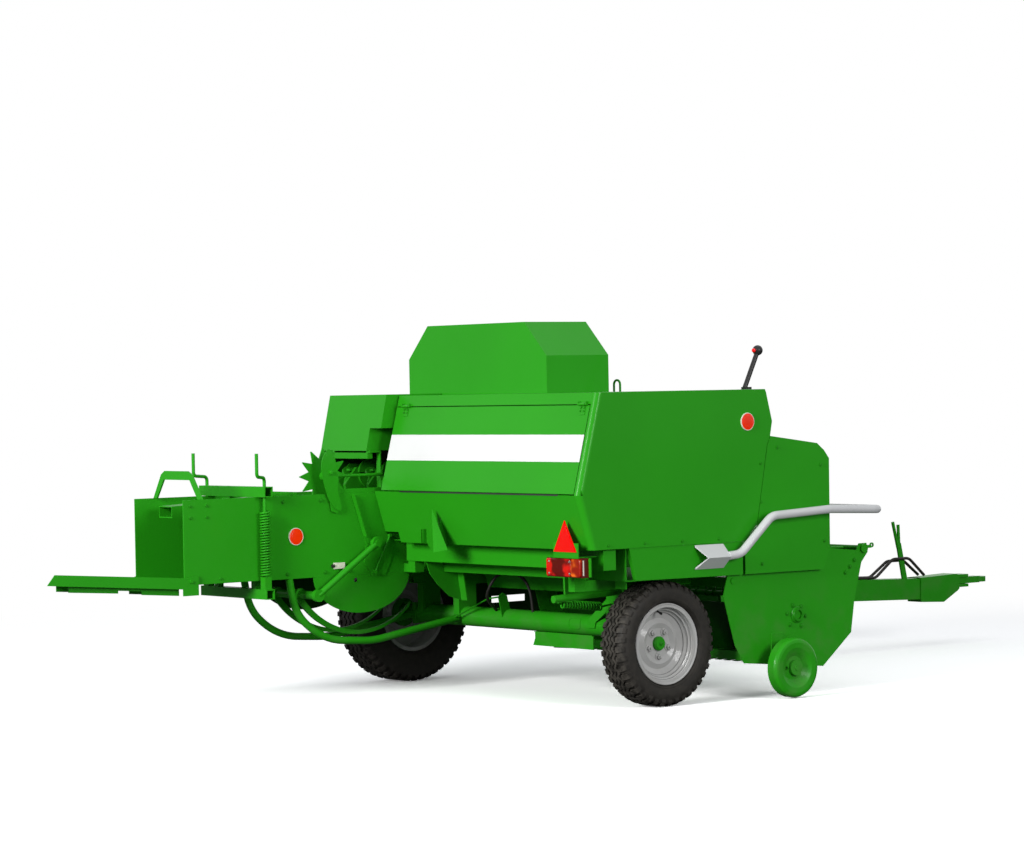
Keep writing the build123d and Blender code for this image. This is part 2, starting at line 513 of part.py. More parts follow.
def body_panels():
    """Sheet-metal body: side panels, rear panels, deck, tall hood, drive cover and front panel."""
    outer = box_right
    inner = box_right + sheet
    rear_slope = (lid_top[0] - lid_kink[0]) / (lid_top[1] - lid_kink[1])
    hinge_x = lid_top[0] - (lid_top[1] - lid_hinge_height) * rear_slope
    past = inner + corner_radius - sheet + seat_gap
    lid_right = past + 4.7
    under = deck_height - 4
    right_side = [lid_top, (box_front - 8, deck_height), (box_front, deck_height - 16), (689, 1437),
                  (673, 1360), (650, 1314), (569, 902), (483, 823), panel_foot, lid_kink]
    skin = plate_xz(right_side, outer, inner)
    for low, high, z0, z1 in ((lid_kink, lid_top, lid_kink[1], deck_height),
                              (panel_foot, lid_kink, panel_foot[1], lid_kink[1])):
        a, b = along(low, high, -0.2), along(low, high, 1.2)
        skin = skin - sloped_sheet(a, b, outer - 1, inner + 1, corner_radius)
        skin = skin + corner(low, high, z0, z1)
    flange = plate_xz([(-500, 822.3), (-500, 826), (490, 827), (483, 823.3)], inner, inner + 24)
    keep("chassis", "side_panel_right", skin + flange)
    lower = plate_xz([(-300, 822), (-256, 657), (305, 652), (470, 652), (470, 822)], inner + seat_gap, inner + seat_gap + sheet)
    lower = lower + plate_xz([(-300, 822), (-256, 661), (-252, 661), (-296, 822)], inner + seat_gap, inner + 26)
    keep("chassis", "feeder_plates", lower)
    keep("chassis", "side_panel_left", plate_xz([(-196, 1096), (-196, under - 1), (box_front - 12, under - 1), (box_front - 12, 1096)],
                                               chamber_left + 1, chamber_left + wall))
    # Rear: fixed strip above the hinge, lid, and lower panel below the kink
    strip_end = (hinge_x, lid_hinge_height)
    strip = sloped_sheet(strip_end, lid_top, past, lid_left - seat_gap, sheet)
    keep("chassis", "rear_panel", strip)
    floor_left = chamber_right - wall - seat_gap
    plate_y = floor_left - side_plate_thickness - seat_gap
    lower_panel = sloped_sheet(panel_foot, lid_kink, past, plate_y, sheet)
    lower_panel = lower_panel - block(-700, -500, 360, 500, 800, 878)
    shelf = block(lid_kink[0] + 6, lid_kink[0] + 46, past, floor_left, 1088, 1092)
    shelf = shelf + block(lid_kink[0] + 42, lid_kink[0] + 46, past, lid_left - 4, 1088, 1112)
    foot = block(panel_foot[0] + 2, panel_foot[0] + 40, past, 360, 822, 826)
    keep("chassis", "rear_panel", lower_panel + shelf + foot)
    gusset = plate_xz([(-585, 960), (-640, 826), (-632, 790), (-548, 822)], -52, -46)
    keep("chassis", "rear_panel", gusset - lower_panel - foot)
    lid_low = along(lid_kink, lid_top, 0.014)
    lid_high = (hinge_x - 5 * rear_slope, lid_hinge_height - 5)
    lid = sloped_sheet(lid_low, lid_high, lid_right, lid_left, 3)
    for y0 in (lid_right, lid_left - 3):
        edge = plate_xz([(lid_low[0] + 2, lid_low[1] + 8), (lid_high[0] + 2, lid_high[1] - 16),
                         (lid_high[0] + 18, lid_high[1] - 20), (lid_low[0] + 18, lid_low[1] + 8)], y0, y0 + 3)
        lid = lid + edge
    keep("lid", "rear_lid", lid)
    pin_x = hinge_x - lid_hinge_offset
    for y in lid_hinge_ys:
        knuckle = ring_y(pin_x, lid_hinge_height, 8, 4 + running_gap, y - 22, y + 22)
        leaf = sloped_sheet(along(lid_high, lid_low, 0.11), along(lid_high, lid_low, 0.03), y - 22, y + 22, -3)
        keep("lid", "rear_lid", knuckle, leaf.moved(Location((-seat_gap, 0, 0))))
        pin = rod_y(pin_x, lid_hinge_height, 4, y - 34, y + 34)
        for y0 in (y - 34, y + 24):
            pin = pin + rod_y(pin_x, lid_hinge_height, 7, y0, y0 + 10)
            pin = pin + block(pin_x - 6, pin_x + 16, y0, y0 + 10, lid_hinge_height, lid_hinge_height + 14)
        pin = pin - strip
        keep("chassis", "hinge_pins", pin)
    # Twine box and feeder walls
    rear_wall = block(-304, -300, inner + 24.5, floor_left, chamber_bottom + 4.3, 1085.7)
    rear_wall = rear_wall + block(-304, -300, inner + 24.5, 423.7, 1085, under - 1)
    keep("chassis", "twine_box", rear_wall)
    keep("chassis", "twine_box", block(panel_foot[0] + 41, -304.3, inner + seat_gap, floor_left, 828, 832))
    keep("chassis", "twine_box", plate_xz([(-566, 1112.3), (-480, under - 60), (-480, under - 1), (-304.3, under - 1),
                                          (-304.3, 1112.3)], 410, 414))
    floor_top = chamber_bottom + 4
    feeder_floor = block(-304, 345, inner + 5, floor_left, chamber_bottom, floor_top)
    feeder_floor = feeder_floor + block(345, 470, pickup_right + 15, 340, chamber_bottom, floor_top)
    feeder_floor = feeder_floor + block(345, 470, 364, floor_left, chamber_bottom, floor_top)
    pan = plate_xz([(70, chamber_bottom - seat_gap), (104, 545), (311, 545), (345, chamber_bottom - seat_gap)],
                   -900, 440)
    pan_inside = plate_xz([(73, chamber_bottom), (107, 549), (308, 549), (342, chamber_bottom)], -901, 441)
    keep("chassis", "feeder_plates", feeder_floor, pan - pan_inside)
    keep("chassis", "feeder_plates", block(-299.7, box_front - 4.3, inner + 5, chamber_right - wall - seat_gap, 1086, 1090))
    # Deck with the opening of the tall hood
    deck = block(lid_top[0] + 4.3, box_front - 4.3, inner + seat_gap, chamber_left + wall, under, deck_height)
    rear_corner = deck.edges().filter_by(Axis.Z).sort_by(lambda edge: edge.center().X + edge.center().Y)[0]
    deck = fillet(rear_corner, corner_radius - sheet + 1.5)
    deck = deck - block(-600, hood_x[0] - 4, lid_left - 0.3, 1000, under - 1, deck_height + 1)
    deck = deck - block(hood_x[0] + 4, hood_x[1] - 4, hood_ys[0] + 4, hood_ys[3] - 4, under - 1, deck_height + 1)
    keep("chassis", "deck", deck)
    base = deck_height + seat_gap
    ring = bent_rod([(342, -425, base), (342, -425, base + 61), (342, -375, base + 61), (342, -375, base)], 24, 6)
    keep("chassis", "deck", ring)
    shoulder = deck_height + hood_shoulder_rise
    crest = deck_height + hood_rise
    hood = plate_yz([(hood_ys[0], base), (hood_ys[0], shoulder), (hood_ys[1], crest), (hood_ys[2], crest),
                     (hood_ys[3], shoulder), (hood_ys[3], base)], hood_x[0], hood_x[1])
    t = hood_sheet
    hollow = plate_yz([(hood_ys[0] + t, base - 1), (hood_ys[0] + t, shoulder - 1), (hood_ys[1] + 1, crest - t),
                       (hood_ys[2] - 1, crest - t), (hood_ys[3] - t, shoulder - 1), (hood_ys[3] - t, base - 1)],
                      hood_x[0] + t, hood_x[1] - t)
    keep("chassis", "feeder_hood", hood - hollow)
    # Front
    front = plate_yz([(inner + seat_gap, 960), (inner + seat_gap, under - 1), (chamber_left + wall, under - 1),
                      (chamber_left + wall, 1096), (chamber_right - wall - 1, 1096), (chamber_right - wall - 1, 960)],
                     box_front - 4, box_front)
    keep("chassis", "front_panel", front)
    cover_face = [(673 + 3, 1360), (1009, 1315), (1059, 1277), (1095, 1233), (1091, 759), (1040, 650),
                  (483, 652), (483, 820), (572, 900), (653, 1313)]
    cover = plate_xz(cover_face, outer, inner)
    rim = plate_xz([(676, 1356), (1008, 1311), (1056, 1274), (1091, 1231), (1089, 960), (1095, 960), (1095, 1233),
                    (1059, 1277), (1009, 1315), (676, 1360)], inner, cover_depth)
    small_rim = plate_xz([(1091, 759), (1040, 650), (483, 652), (483, 656), (1037, 654), (1087, 760), (1089, 960),
                          (1093, 960)], inner, inner + 18)
    keep("chassis", "drive_cover", cover + rim + small_rim)
    keep("chassis", "drive_cover", block(box_front + seat_gap, 1086, inner + seat_gap, cover_depth, 960, 964))


def fittings():
    """Small things on the body: lever, reflectors, lamps and warning triangles."""
    foot = deck_height + seat_gap
    lever = straight_rod((608, -1110, foot + 8), (694, -1112, foot + 182), 12.5)
    lever = lever + block(596, 644, -1124, -1096, foot, foot + 12) + Pos(702, -1112, foot + 202) * Sphere(27)
    keep("chassis", "control_lever", lever)
    for x, z, y in ((512, 1438, box_right), (-1144, 876, chamber_right - wall)):
        keep("chassis", "reflectors", rod_y(x, z, 46, y - 7, y - seat_gap))
    y = chamber_left + wall
    keep("chassis", "reflectors", rod_y(-1144, 876, 46, y + seat_gap, y + 7))
    # Lamp and warning triangle on each side, with the folded plate that carries them
    for y0, y1, middle, near, far in ((-1240, -932, -1100, -1150, -960), (980, 1288, 1148, y + 27, 1270)):
        keep("chassis", "rear_lamps", block(-606, -552, y0, y1, 688, 784))
        keep("chassis", "reflectors",
             plate_yz([(middle - 88, 815), (middle + 88, 815), (middle, 972)], -618, -612))
        keep("chassis", "under_frame", block(-611.7, -606, middle - 96, middle + 96, 784.3, 860),
             block(-605.7, -450.3, near, far, 784.3, 788.3), block(-551.7, -546, y0 + 20, y1 - 20, 690, 784))
    keep("chassis", "under_frame", block(-545.7, -450.3, y + seat_gap, y + 40, 700, 784))


def under_frame():
    """Beams and legs that tie the body, the chamber and the axle together."""
    left_end = 440.0
    keep("chassis", "under_frame", box_tube_y(-450, -370, 717, 817, -1196, left_end, 6))
    keep("chassis", "under_frame", block(-440, -380, left_end, chamber_right - wall - seat_gap, 655, 700) +
         block(-440, -380, 380, left_end, 655, 717))
    seat = axle_tube_radius + seat_gap
    # The left leg runs fore and aft beside the beam; the right one is a slanting plate behind the tube
    under = chamber_bottom - seat_gap
    leg = plate_xz([(-424, 716.7), (-369.7, 716.7), (-369.7, 815), (-306, 815), (-306, under), (-212, under),
                    (-186, 495), (-270, 520), (-349, 588), (-401, 650)], 300, 306)
    leg = leg + plate_xz([(-218, under), (-212, under), (-186, 495), (-192, 495)], 250, 300)
    keep("chassis", "under_frame", leg)
    leg = plate_yz([(-955, 599.7), (-840, 599.7), (-600, 420), (-600, 380), (-655, 380), (-665, 412)],
                   -60.3, -54.3)
    keep("chassis", "under_frame", leg)
    stay = straight_rod((-500, -860, 563), (-60.6, -860, 581), 19)
    hanger = plate_xz([(-430, 716.7), (-380, 716.7), (-385, 545), (-425, 545)], -866, -854)
    keep("chassis", "under_frame", stay + hanger)
    keep("chassis", "under_frame", box_tube_x(-370, 340, -960, -910, 600, 654.7, 5), block(-440, -370.3, -960, -910, 600, 716.7))
    for y0, y1, top in ((-800.0, -752.0, 654.7), (494.0, 544.0, 563.7), (820.0, 870.0, 563.7)):
        saddle = plate_xz([(-60, 400), (-60, top), (60, top), (60, 400)], y0, y1)
        keep("chassis", "under_frame", saddle - rod_y(0, axle_tube_height, seat, y0 - 1, y1 + 1))
    for y0, y1 in ((494, 544), (820, 870)):
        keep("chassis", "front_frame", box_tube_x(-120, 1250, y0, y1, 564, 654.7, 5))
    keep("chassis", "front_frame", box_tube_y(1060, 1140, 500, 563.7, 380, 980, 6))
    pivot_top = drawbar_top(drawbar_pivot_x)
    pivot_low = pivot_top - drawbar_height
    for z0, rear in ((pivot_top + 8, 1140.3), (pivot_low - 22, 1100.3)):
        ear = plate_xy([(rear, 385), (1190, 385), (1240, 420), (1240, 490), (1190, 540), (rear, 540)], z0, z0 + 14)
        keep("chassis", "front_frame", ear - rod_z(drawbar_pivot_x, drawbar_y, 20 + seat_gap, z0 - 1, z0 + 15))
    keep("chassis", "front_frame", rod_z(drawbar_pivot_x, drawbar_y, 20, pivot_low - 26, pivot_top + 26))
    keep("chassis", "front_frame", block(1080, 1100, 385, 540, pivot_low - 26, 499.7))
    keep("chassis", "front_frame", block(1060, 1250, 494, 870, 655, 667))
    # Pickup brackets
    for y0, pin_start, pin_end in ((-1180.0, -1201.0, -1180.3), (364.0, 344.0, 363.7)):
        keep("chassis", "under_frame", block(395, 445, y0, y0 + 9, 598, 654.7),
             rod_y(pickup_pivot[0], pickup_pivot[1], 15, pin_start, pin_end))
    # Driveline: gearbox, chain case and its shaft
    case = plate_xz([(1045, 780), (1045, 1040), (1080, 1075), (1240, 1075), (1300, 1040), (1330, 1010), (1330, 890),
                     (1290, 780)], 600, 830)
    for x, z, y0, y1 in ((1080, 667.3, 620, 650), (1080, 667.3, 780, 810), (1200, 667.3, 620, 650),
                         (1200, 667.3, 780, 810)):
        case = case + block(x, x + 40, y0, y1, z, 790)
    keep("chassis", "gearbox", case + rod_x(flywheel_y, flywheel_z, 70, 1320, 1359.5))
    keep("chassis", "gearbox", rod_y(1130, 930, 60, 830, 860), block(1090, 1160, 640, 790, 1075.3, 1090))
    keep("chassis", "chain_case", plate_xz([(60, 800), (40, 830), (40, 1240), (70, 1280), (300, 1280), (900, 1000),
                                            (930, 960), (930, 790), (900, 760), (420, 760), (380, 800)],
                                           chamber_left + wall + seat_gap, 1012))


def drawbar_top(x):
    return 415 + (3480 - x) * drawbar_fall


def flywheel():
    wheel = Pos(1400, flywheel_y, flywheel_z) * Rot(0, 90, 0) * (Cylinder(300, 60) - Cylinder(262, 62))
    web = Pos(1400, flywheel_y, flywheel_z) * Rot(0, 90, 0) * (Cylinder(262.5, 16) - Cylinder(60, 20))
    hub = rod_x(flywheel_y, flywheel_z, 60, 1360, 1440)
    keep("flywheel", "flywheel", wheel + web + hub + rod_x(flywheel_y, flywheel_z, 17.4, 1440, 1560))


def pickup():
    """Pickup: side plates, stripper bands, tined reel, wind guard and gauge wheel."""
    cx, cz = reel_centre
    right_plate = [(1116, 757), (1315, 737), (1336, 772), (1392, 772), (1400, 724), (1351, 671), (1294, 472),
                   (1266, 303), (1055, 137), (491, 190), (431, 284), (354, 546), (384, 647), (470, 757)]
    for y0, name in ((pickup_right, "right"), (pickup_left, "left")):
        plate = plate_xz(right_plate, y0, y0 + pickup_plate)
        plate = plate - rod_y(pickup_pivot[0], pickup_pivot[1], 15 + running_gap, y0 - 1, y0 + 6)
        plate = plate - rod_y(cx, cz, 22 + running_gap, y0 - 1, y0 + 6)
        plate = plate - rod_y(guard_pivot[0], guard_pivot[1], 15 + running_gap, y0 - 1, y0 + 6)
        keep("pickup", "pickup_plate_" + name, plate)
    inner_right = pickup_right + pickup_plate + seat_gap
    inner_left = pickup_left - seat_gap
    keep("pickup", "pickup_frame", box_tube_y(520, 580, 575, 625, inner_right, inner_left, 4))
    keep("pickup", "pickup_frame", box_tube_y(500, 560, 204, 250, inner_right, inner_left, 4))
    steps = 12
    outer = []
    inner = []
    for i in range(steps + 1):
        angle = radians(-90 + 180 * i / steps)
        outer.append((cx + stripper_radius * cos(angle), cz + stripper_radius * sin(angle)))
        inner.append((cx + (stripper_radius - 3) * cos(angle), cz + (stripper_radius - 3) * sin(angle)))
    band_outer = [(500, cz - stripper_radius - 18)] + outer + [(520, cz + stripper_radius + 4)]
    band_inner = [(520, cz + stripper_radius + 1)] + inner[::-1] + [(500, cz - stripper_radius - 15)]
    for i in range(tines_per_bar + 1):
        y = first_tine - tine_pitch / 2 + i * tine_pitch
        low = max(y - band_width / 2, inner_right)
        high = min(y + band_width / 2, inner_left)
        keep("pickup", "stripper_bands", plate_xz(band_outer + band_inner, low, high))
    # Reel
    shaft_right = pickup_right - 6
    shaft_left = pickup_left + pickup_plate + 6
    reel = rod_y(cx, cz, 22, shaft_right, shaft_left)
    keep("reel", "reel_frame", reel)
    for y0 in (pickup_right + pickup_plate + 6, -420, pickup_left - 12):
        disc = ring_y(cx, cz, 158, 22 + seat_gap, y0, y0 + 5)
        keep("reel", "reel_frame", disc)
    for bar in range(tine_bars):
        angle = radians(45 + bar * 360 / tine_bars)
        bx, bz = cx + reel_bar_radius * cos(angle), cz + reel_bar_radius * sin(angle)
        keep("reel", "reel_frame", rod_y(bx, bz, 14, pickup_right + 16.3, pickup_left - 12.3))
        trail = angle - radians(14)
        tip = (cx + tine_tip_radius * cos(trail), cz + tine_tip_radius * sin(trail))
        side = (-sin(angle) * 4, cos(angle) * 4)
        root = (bx + cos(angle) * 14.3, bz + sin(angle) * 14.3)
        for i in range(tines_per_bar):
            y = first_tine + i * tine_pitch
            tine = plate_xz([(root[0] - side[0], root[1] - side[1]), (tip[0] - side[0] / 2, tip[1] - side[1] / 2),
                             (tip[0] + side[0] / 2, tip[1] + side[1] / 2), (root[0] + side[0], root[1] + side[1])],
                            y - tine_thickness / 2, y + tine_thickness / 2)
            keep("reel", "reel_tines", tine)
    # Wind guard
    gx, gz = guard_pivot
    keep("wind_guard", "wind_guard", rod_y(gx, gz, 15, pickup_right - 14, pickup_left + pickup_plate + 14))
    ear_y0, ear_y1 = pickup_right - 14, pickup_right - 6
    ear = rod_y(gx, gz, 24, ear_y0, ear_y1) + rod_y(gx + 55, gz + 15, 13, ear_y0, ear_y1)
    ear = ear - rod_y(gx, gz, 15 + seat_gap, ear_y0 - 1, ear_y1 + 1)
    ear = ear + (block(gx + 20, gx + 50, ear_y0, ear_y1, gz, gz + 16) - rod_y(gx, gz, 15 + seat_gap, ear_y0 - 1, ear_y1 + 1))
    keep("wind_guard", "wind_guard", ear - rod_y(gx + 55, gz + 15, 7, ear_y0 - 1, ear_y1 + 1))
    for i in range(guard_rods):
        y = -1060 + i * 118
        keep("wind_guard", "wind_guard", bent_rod([(gx - 15.2, y, gz + 2), (1180, y, gz + 8), (760, y, gz - 32)], 120, 5))
    # Gauge wheel
    wx, wz = gauge_centre
    arm = plate_xz([(wx - 40, wz - 24), (wx - 40, 330), (wx + 40, 330), (wx + 40, wz - 24)], pickup_right - 8.3, pickup_right - 0.3)
    keep("pickup", "pickup_frame", arm, rod_y(wx, wz, 14, -1352, pickup_right - 8.6))
    half = gauge_width / 2
    dish = turned_y([(14 + running_gap, -27), (24, -27), (24, -14), (gauge_radius - 24, 2), (gauge_radius - 8, -20),
                     (gauge_radius - 8, -half), (gauge_radius, -half), (gauge_radius, half - 18),
                     (gauge_radius - 4, half - 8), (gauge_radius - 12, half - 2), (gauge_radius - 24, half),
                     (gauge_radius - 50, half - 2), (80, 18), (60, 6), (40, 6), (40, 27),
                     (14 + running_gap, 27)], wx, gauge_y, wz, -1)
    keep("gauge_wheel", "gauge_wheel", dish - rod_y(wx - 55, wz, 10, gauge_y - 60, gauge_y + 60))


def guard_rail():
    """Light bar that runs from the side bracket around the front of the pickup."""
    path = [(330, rail_y + 38, 755), (410, rail_y + 28, 762), (605, rail_y, 950), (1023, rail_y, 969),
            (1423, rail_y, 953), (1423, 330, 953), (1300, 400, 930)]
    bar = bent_rod(path, rail_bend, rail_radius)
    bar = bar - block(200, 330, rail_y - 100, rail_y + 100, 700, 800)
    side = box_right - seat_gap
    outside = [(side, 817), (side - 62, 752), (side, 693)]
    inside = [(side + 1, 808), (side - 56, 752), (side + 1, 702)]
    bracket = plate_yz(outside, 136, 330) - plate_yz(inside, 135, 326)
    bracket = bracket - plate_xy([(130, side), (136, side), (178, side - 62), (178, side - 90), (130, side - 90)],
                                 690, 820)
    keep("chassis", "guard_rail", bracket + bar)
    keep("chassis", "guard_rail", block(1262, 1330, 401, 599.7, 900, 960) - bar)


def hitch():
    """Drawbar with its eye, hose stand and hoses, and the parking jack."""
    y0, y1 = drawbar_y - drawbar_width / 2, drawbar_y + drawbar_width / 2
    start, end = 1150.0, drawbar_end
    top = [(start, drawbar_top(start)), (end, drawbar_top(end))]
    beam = plate_xz(top + [(end, drawbar_top(end) - drawbar_height), (start, drawbar_top(start) - drawbar_height)], y0, y1)
    t = 8.0
    hollow = plate_xz([(start - 1, drawbar_top(start) - t), (end + 1, drawbar_top(end) - t),
                       (end + 1, drawbar_top(end) - drawbar_height + t), (start - 1, drawbar_top(start) - drawbar_height + t)],
                      y0 + t, y1 - t)
    beam = beam - hollow
    beam = beam - rod_z(drawbar_pivot_x, drawbar_y, 20 + running_gap, 200, 700)
    keep("drawbar", "drawbar", beam)
    head = plate_xz([(end - 40, drawbar_top(end) + 6), (3760, 430), (3780, 410), (3780, 338), (3765, 326), (3640, 262), (end - 40, 272)],
                    y0 - 8, y1 + 8) - plate_xz([(end - 41, 421.3), (end - 41, 280), (3634, 274), (3757, 336), (3770, 346), (3770, 412),
                                               (3750, 421)], y0 - seat_gap, y1 + seat_gap)
    keep("drawbar", "drawbar", head)
    for z0 in (404.0, 344.0):
        keep("drawbar", "drawbar", block(3780.3, 3880, drawbar_y - 40, drawbar_y + 40, z0, z0 + 18))
    eye = block(3800, hitch_x - 20, drawbar_y - 30, drawbar_y + 30, 364, 403.7)
    eye = eye + rod_z(hitch_x, drawbar_y, 46, 368, 400) - rod_z(hitch_x, drawbar_y, hitch_bore, 360, 410)
    keep("drawbar", "hitch_eye", eye)
    stand = plate_xz([(3335, drawbar_top(3335) + seat_gap), (3375, drawbar_top(3375) + seat_gap), (3325, 640),
                      (3290, 640)], drawbar_y - 6, drawbar_y + 6)
    for x0, x1, z1 in ((3303, 3262, 770), (3313, 3308, 752)):
        stand = stand + straight_rod((x0, drawbar_y, 610), (x1, drawbar_y, z1), 10)
    keep("drawbar", "drawbar", stand)
    for y, rise in ((drawbar_y - 26, 0), (drawbar_y + 24, -14)):
        hose = bent_rod([(1300, y, drawbar_top(1300) + 9.3), (3080, y, drawbar_top(3080) + 9.3),
                         (3230, y, 545 + rise), (3370, y, 545 + rise), (3500, y, drawbar_top(3480) + 20)], 70, 9)
        keep("drawbar", "hoses", hose)
    # Jack
    jy = y0 - 50.3
    sleeve = block(jack_x - 40, jack_x + 40, jy - 40, jy + 40, 330, 900) - block(jack_x - 34, jack_x + 34, jy - 34, jy + 34, 329, 880)
    keep("drawbar", "jack_sleeve", sleeve, rod_z(jack_x, jy, 12, 900.3, 931.7))
    keep("drawbar", "jack_sleeve", rod_y(jack_x, 940, 8, jy - 130, jy + 12), block(jack_x - 40, jack_x + 40, jy + 40.3, y0 - seat_gap, 350, 440))
    leg = block(jack_x - 33.5, jack_x + 33.5, jy - 33.5, jy + 33.5, 8, 560)
    keep("jack", "jack_leg", leg, block(jack_x - 100, jack_x + 100, jy - 90, jy + 90, 0, 7.7))


def build_all():
    for row in wheels:
        wheel(row)
    axle()
    chamber()
    density_rails()
    chute()
    needles()
    tying()
    body_panels()
    fittings()
    under_frame()
    flywheel()
    pickup()
    guard_rail()
    hitch()


build_all()
everything = Compound(children=[solid for nodes in bodies.values() for solids in nodes.values() for solid in solids])
extent = everything.bounding_box()
to_origin = Location((-(extent.min.X + extent.max.X) / 2, -(extent.min.Y + extent.max.Y) / 2, -extent.min.Z))
os.makedirs("parts", exist_ok=True)
for nodes in bodies.values():
    for node_name, solids in nodes.items():
        export_step(Compound(children=solids).moved(to_origin), "parts/" + node_name + ".step")
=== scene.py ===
"""Looks of the towed square baler: paint, rubber, tread, springs, tines, lamps, bolts and the studio."""

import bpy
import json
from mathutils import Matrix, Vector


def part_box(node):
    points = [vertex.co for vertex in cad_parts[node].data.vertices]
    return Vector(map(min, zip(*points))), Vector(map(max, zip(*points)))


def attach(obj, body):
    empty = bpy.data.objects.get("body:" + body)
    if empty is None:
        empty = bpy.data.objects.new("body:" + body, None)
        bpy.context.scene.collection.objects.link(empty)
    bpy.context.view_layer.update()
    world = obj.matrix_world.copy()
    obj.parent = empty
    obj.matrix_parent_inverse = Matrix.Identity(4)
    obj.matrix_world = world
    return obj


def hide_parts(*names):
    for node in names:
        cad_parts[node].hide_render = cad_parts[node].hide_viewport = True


bl_info = {
    "name": "Square baler looks",
    "version": (1, 0, 0),
    "blender": (4, 5, 0),
    "location": "View3D > Sidebar > Baler",
    "description": "Paints and dresses the packed square baler and sets its studio",
    "category": "Object",
}

import json
import math
import bpy
from mathutils import Matrix, Vector

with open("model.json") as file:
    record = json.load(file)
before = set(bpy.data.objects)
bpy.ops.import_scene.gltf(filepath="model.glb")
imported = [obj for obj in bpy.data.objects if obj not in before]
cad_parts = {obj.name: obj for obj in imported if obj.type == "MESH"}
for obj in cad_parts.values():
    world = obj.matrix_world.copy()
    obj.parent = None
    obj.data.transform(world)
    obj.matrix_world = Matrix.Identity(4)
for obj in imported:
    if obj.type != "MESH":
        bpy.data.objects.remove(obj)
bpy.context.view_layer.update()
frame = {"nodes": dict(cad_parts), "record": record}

# Places are given from the axle, the middle of the track and the ground
RIGHT_WHEEL_Y = -1.077
tyre_low, tyre_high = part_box("tyre_right")
AXLE = Vector(((tyre_low.x + tyre_high.x) / 2, (tyre_low.y + tyre_high.y) / 2 - RIGHT_WHEEL_Y, 0.0))
RIGHT_TYRE_RADIUS, LEFT_TYRE_RADIUS = 0.320, 0.385
RIGHT_TREAD_HALF = 0.075
# Wheels: side, outward, rim flange radius, half the rim width, half the tread width
WHEELS = (("right", -1, 0.207, 0.069, RIGHT_TREAD_HALF), ("left", 1, 0.214, 0.095, 0.103))
# Outer faces: right and left chamber wall, right side panel
RIGHT_WALL_Y, LEFT_WALL_Y, SIDE_PANEL_Y = 0.481, 0.951, -1.226
# Radius at which a turned outline stops short of its axis, and how far a thin piece stands off its surface
CORE, HAIR = 0.0001, 0.0004


def at(x, y, z):
    """A point given from the axle, the middle of the track and the ground, in metres."""
    return Vector((AXLE.x + x, AXLE.y + y, z))


# Finishes ---------------------------------------------------------------------------------------


class Value:
    """A shader value: arithmetic on it adds Math nodes."""

    def __init__(self, finish, socket):
        self.finish = finish
        self.socket = socket

    def sum_of(self, operation, first, second):
        return self.finish.node("ShaderNodeMath", {"operation": operation}, {0: first, 1: second})

    def __add__(self, other):
        return self.sum_of("ADD", self, other)

    def __radd__(self, other):
        return self.sum_of("ADD", other, self)

    def __sub__(self, other):
        return self.sum_of("SUBTRACT", self, other)

    def __rsub__(self, other):
        return self.sum_of("SUBTRACT", other, self)

    def __mul__(self, other):
        return self.sum_of("MULTIPLY", self, other)

    def __rmul__(self, other):
        return self.sum_of("MULTIPLY", other, self)


class Finish:
    """One material: a principled shader and the nodes that feed it."""

    def __init__(self, name, colour, roughness, metallic=0.0, coat=0.0, gleam=0.25):
        self.material = bpy.data.materials.new(name)
        self.material.use_nodes = True
        self.tree = self.material.node_tree
        self.shader = self.tree.nodes["Principled BSDF"]
        self.colour = tuple(colour)[:3] + (1.0,)
        self.set("Base Color", self.colour)
        self.set("Roughness", roughness)
        self.set("Metallic", metallic)
        self.set("Coat Weight", coat)
        self.set("Coat Roughness", 0.08)
        self.set("Specular IOR Level", gleam)

    def node(self, kind, settings=None, inputs=None, output=0):
        node = self.tree.nodes.new(kind)
        for key, value in (settings or {}).items():
            setattr(node, key, value)
        for key, value in (inputs or {}).items():
            self.join(node.inputs[key], value)
        return Value(self, node.outputs[output])

    def join(self, socket, value):
        if isinstance(value, Value):
            self.tree.links.new(value.socket, socket)
        else:
            socket.default_value = value

    def set(self, name, value):
        self.join(self.shader.inputs[name], value)

    def place(self):
        return self.node("ShaderNodeTexCoord", output="Object")

    def along(self, axis):
        return self.node("ShaderNodeSeparateXYZ", inputs={0: self.place()}, output=axis)

    def noise(self, scale, detail=3.0, place=None):
        return self.node("ShaderNodeTexNoise", inputs={"Vector": place or self.place(), "Scale": scale,
                                                       "Detail": detail})

    def spread(self, value, low, high, out_low=0.0, out_high=1.0):
        return self.node("ShaderNodeMapRange", {"interpolation_type": "SMOOTHSTEP"},
                         {"Value": value, "From Min": low, "From Max": high, "To Min": out_low,
                          "To Max": out_high})

    def mix(self, factor, first, second):
        return self.node("ShaderNodeMix", {"data_type": "RGBA"}, {"Factor": factor, 6: first, 7: second},
                         output=2)

    def bump(self, height, distance, strength=1.0, under=None):
        inputs = {"Height": height, "Distance": distance, "Strength": strength}
        if under is not None:
            inputs["Normal"] = under
        return self.node("ShaderNodeBump", inputs=inputs)


def scaled(colour, factor):
    return tuple(min(1.0, part * factor) for part in tuple(colour)[:3]) + (1.0,)


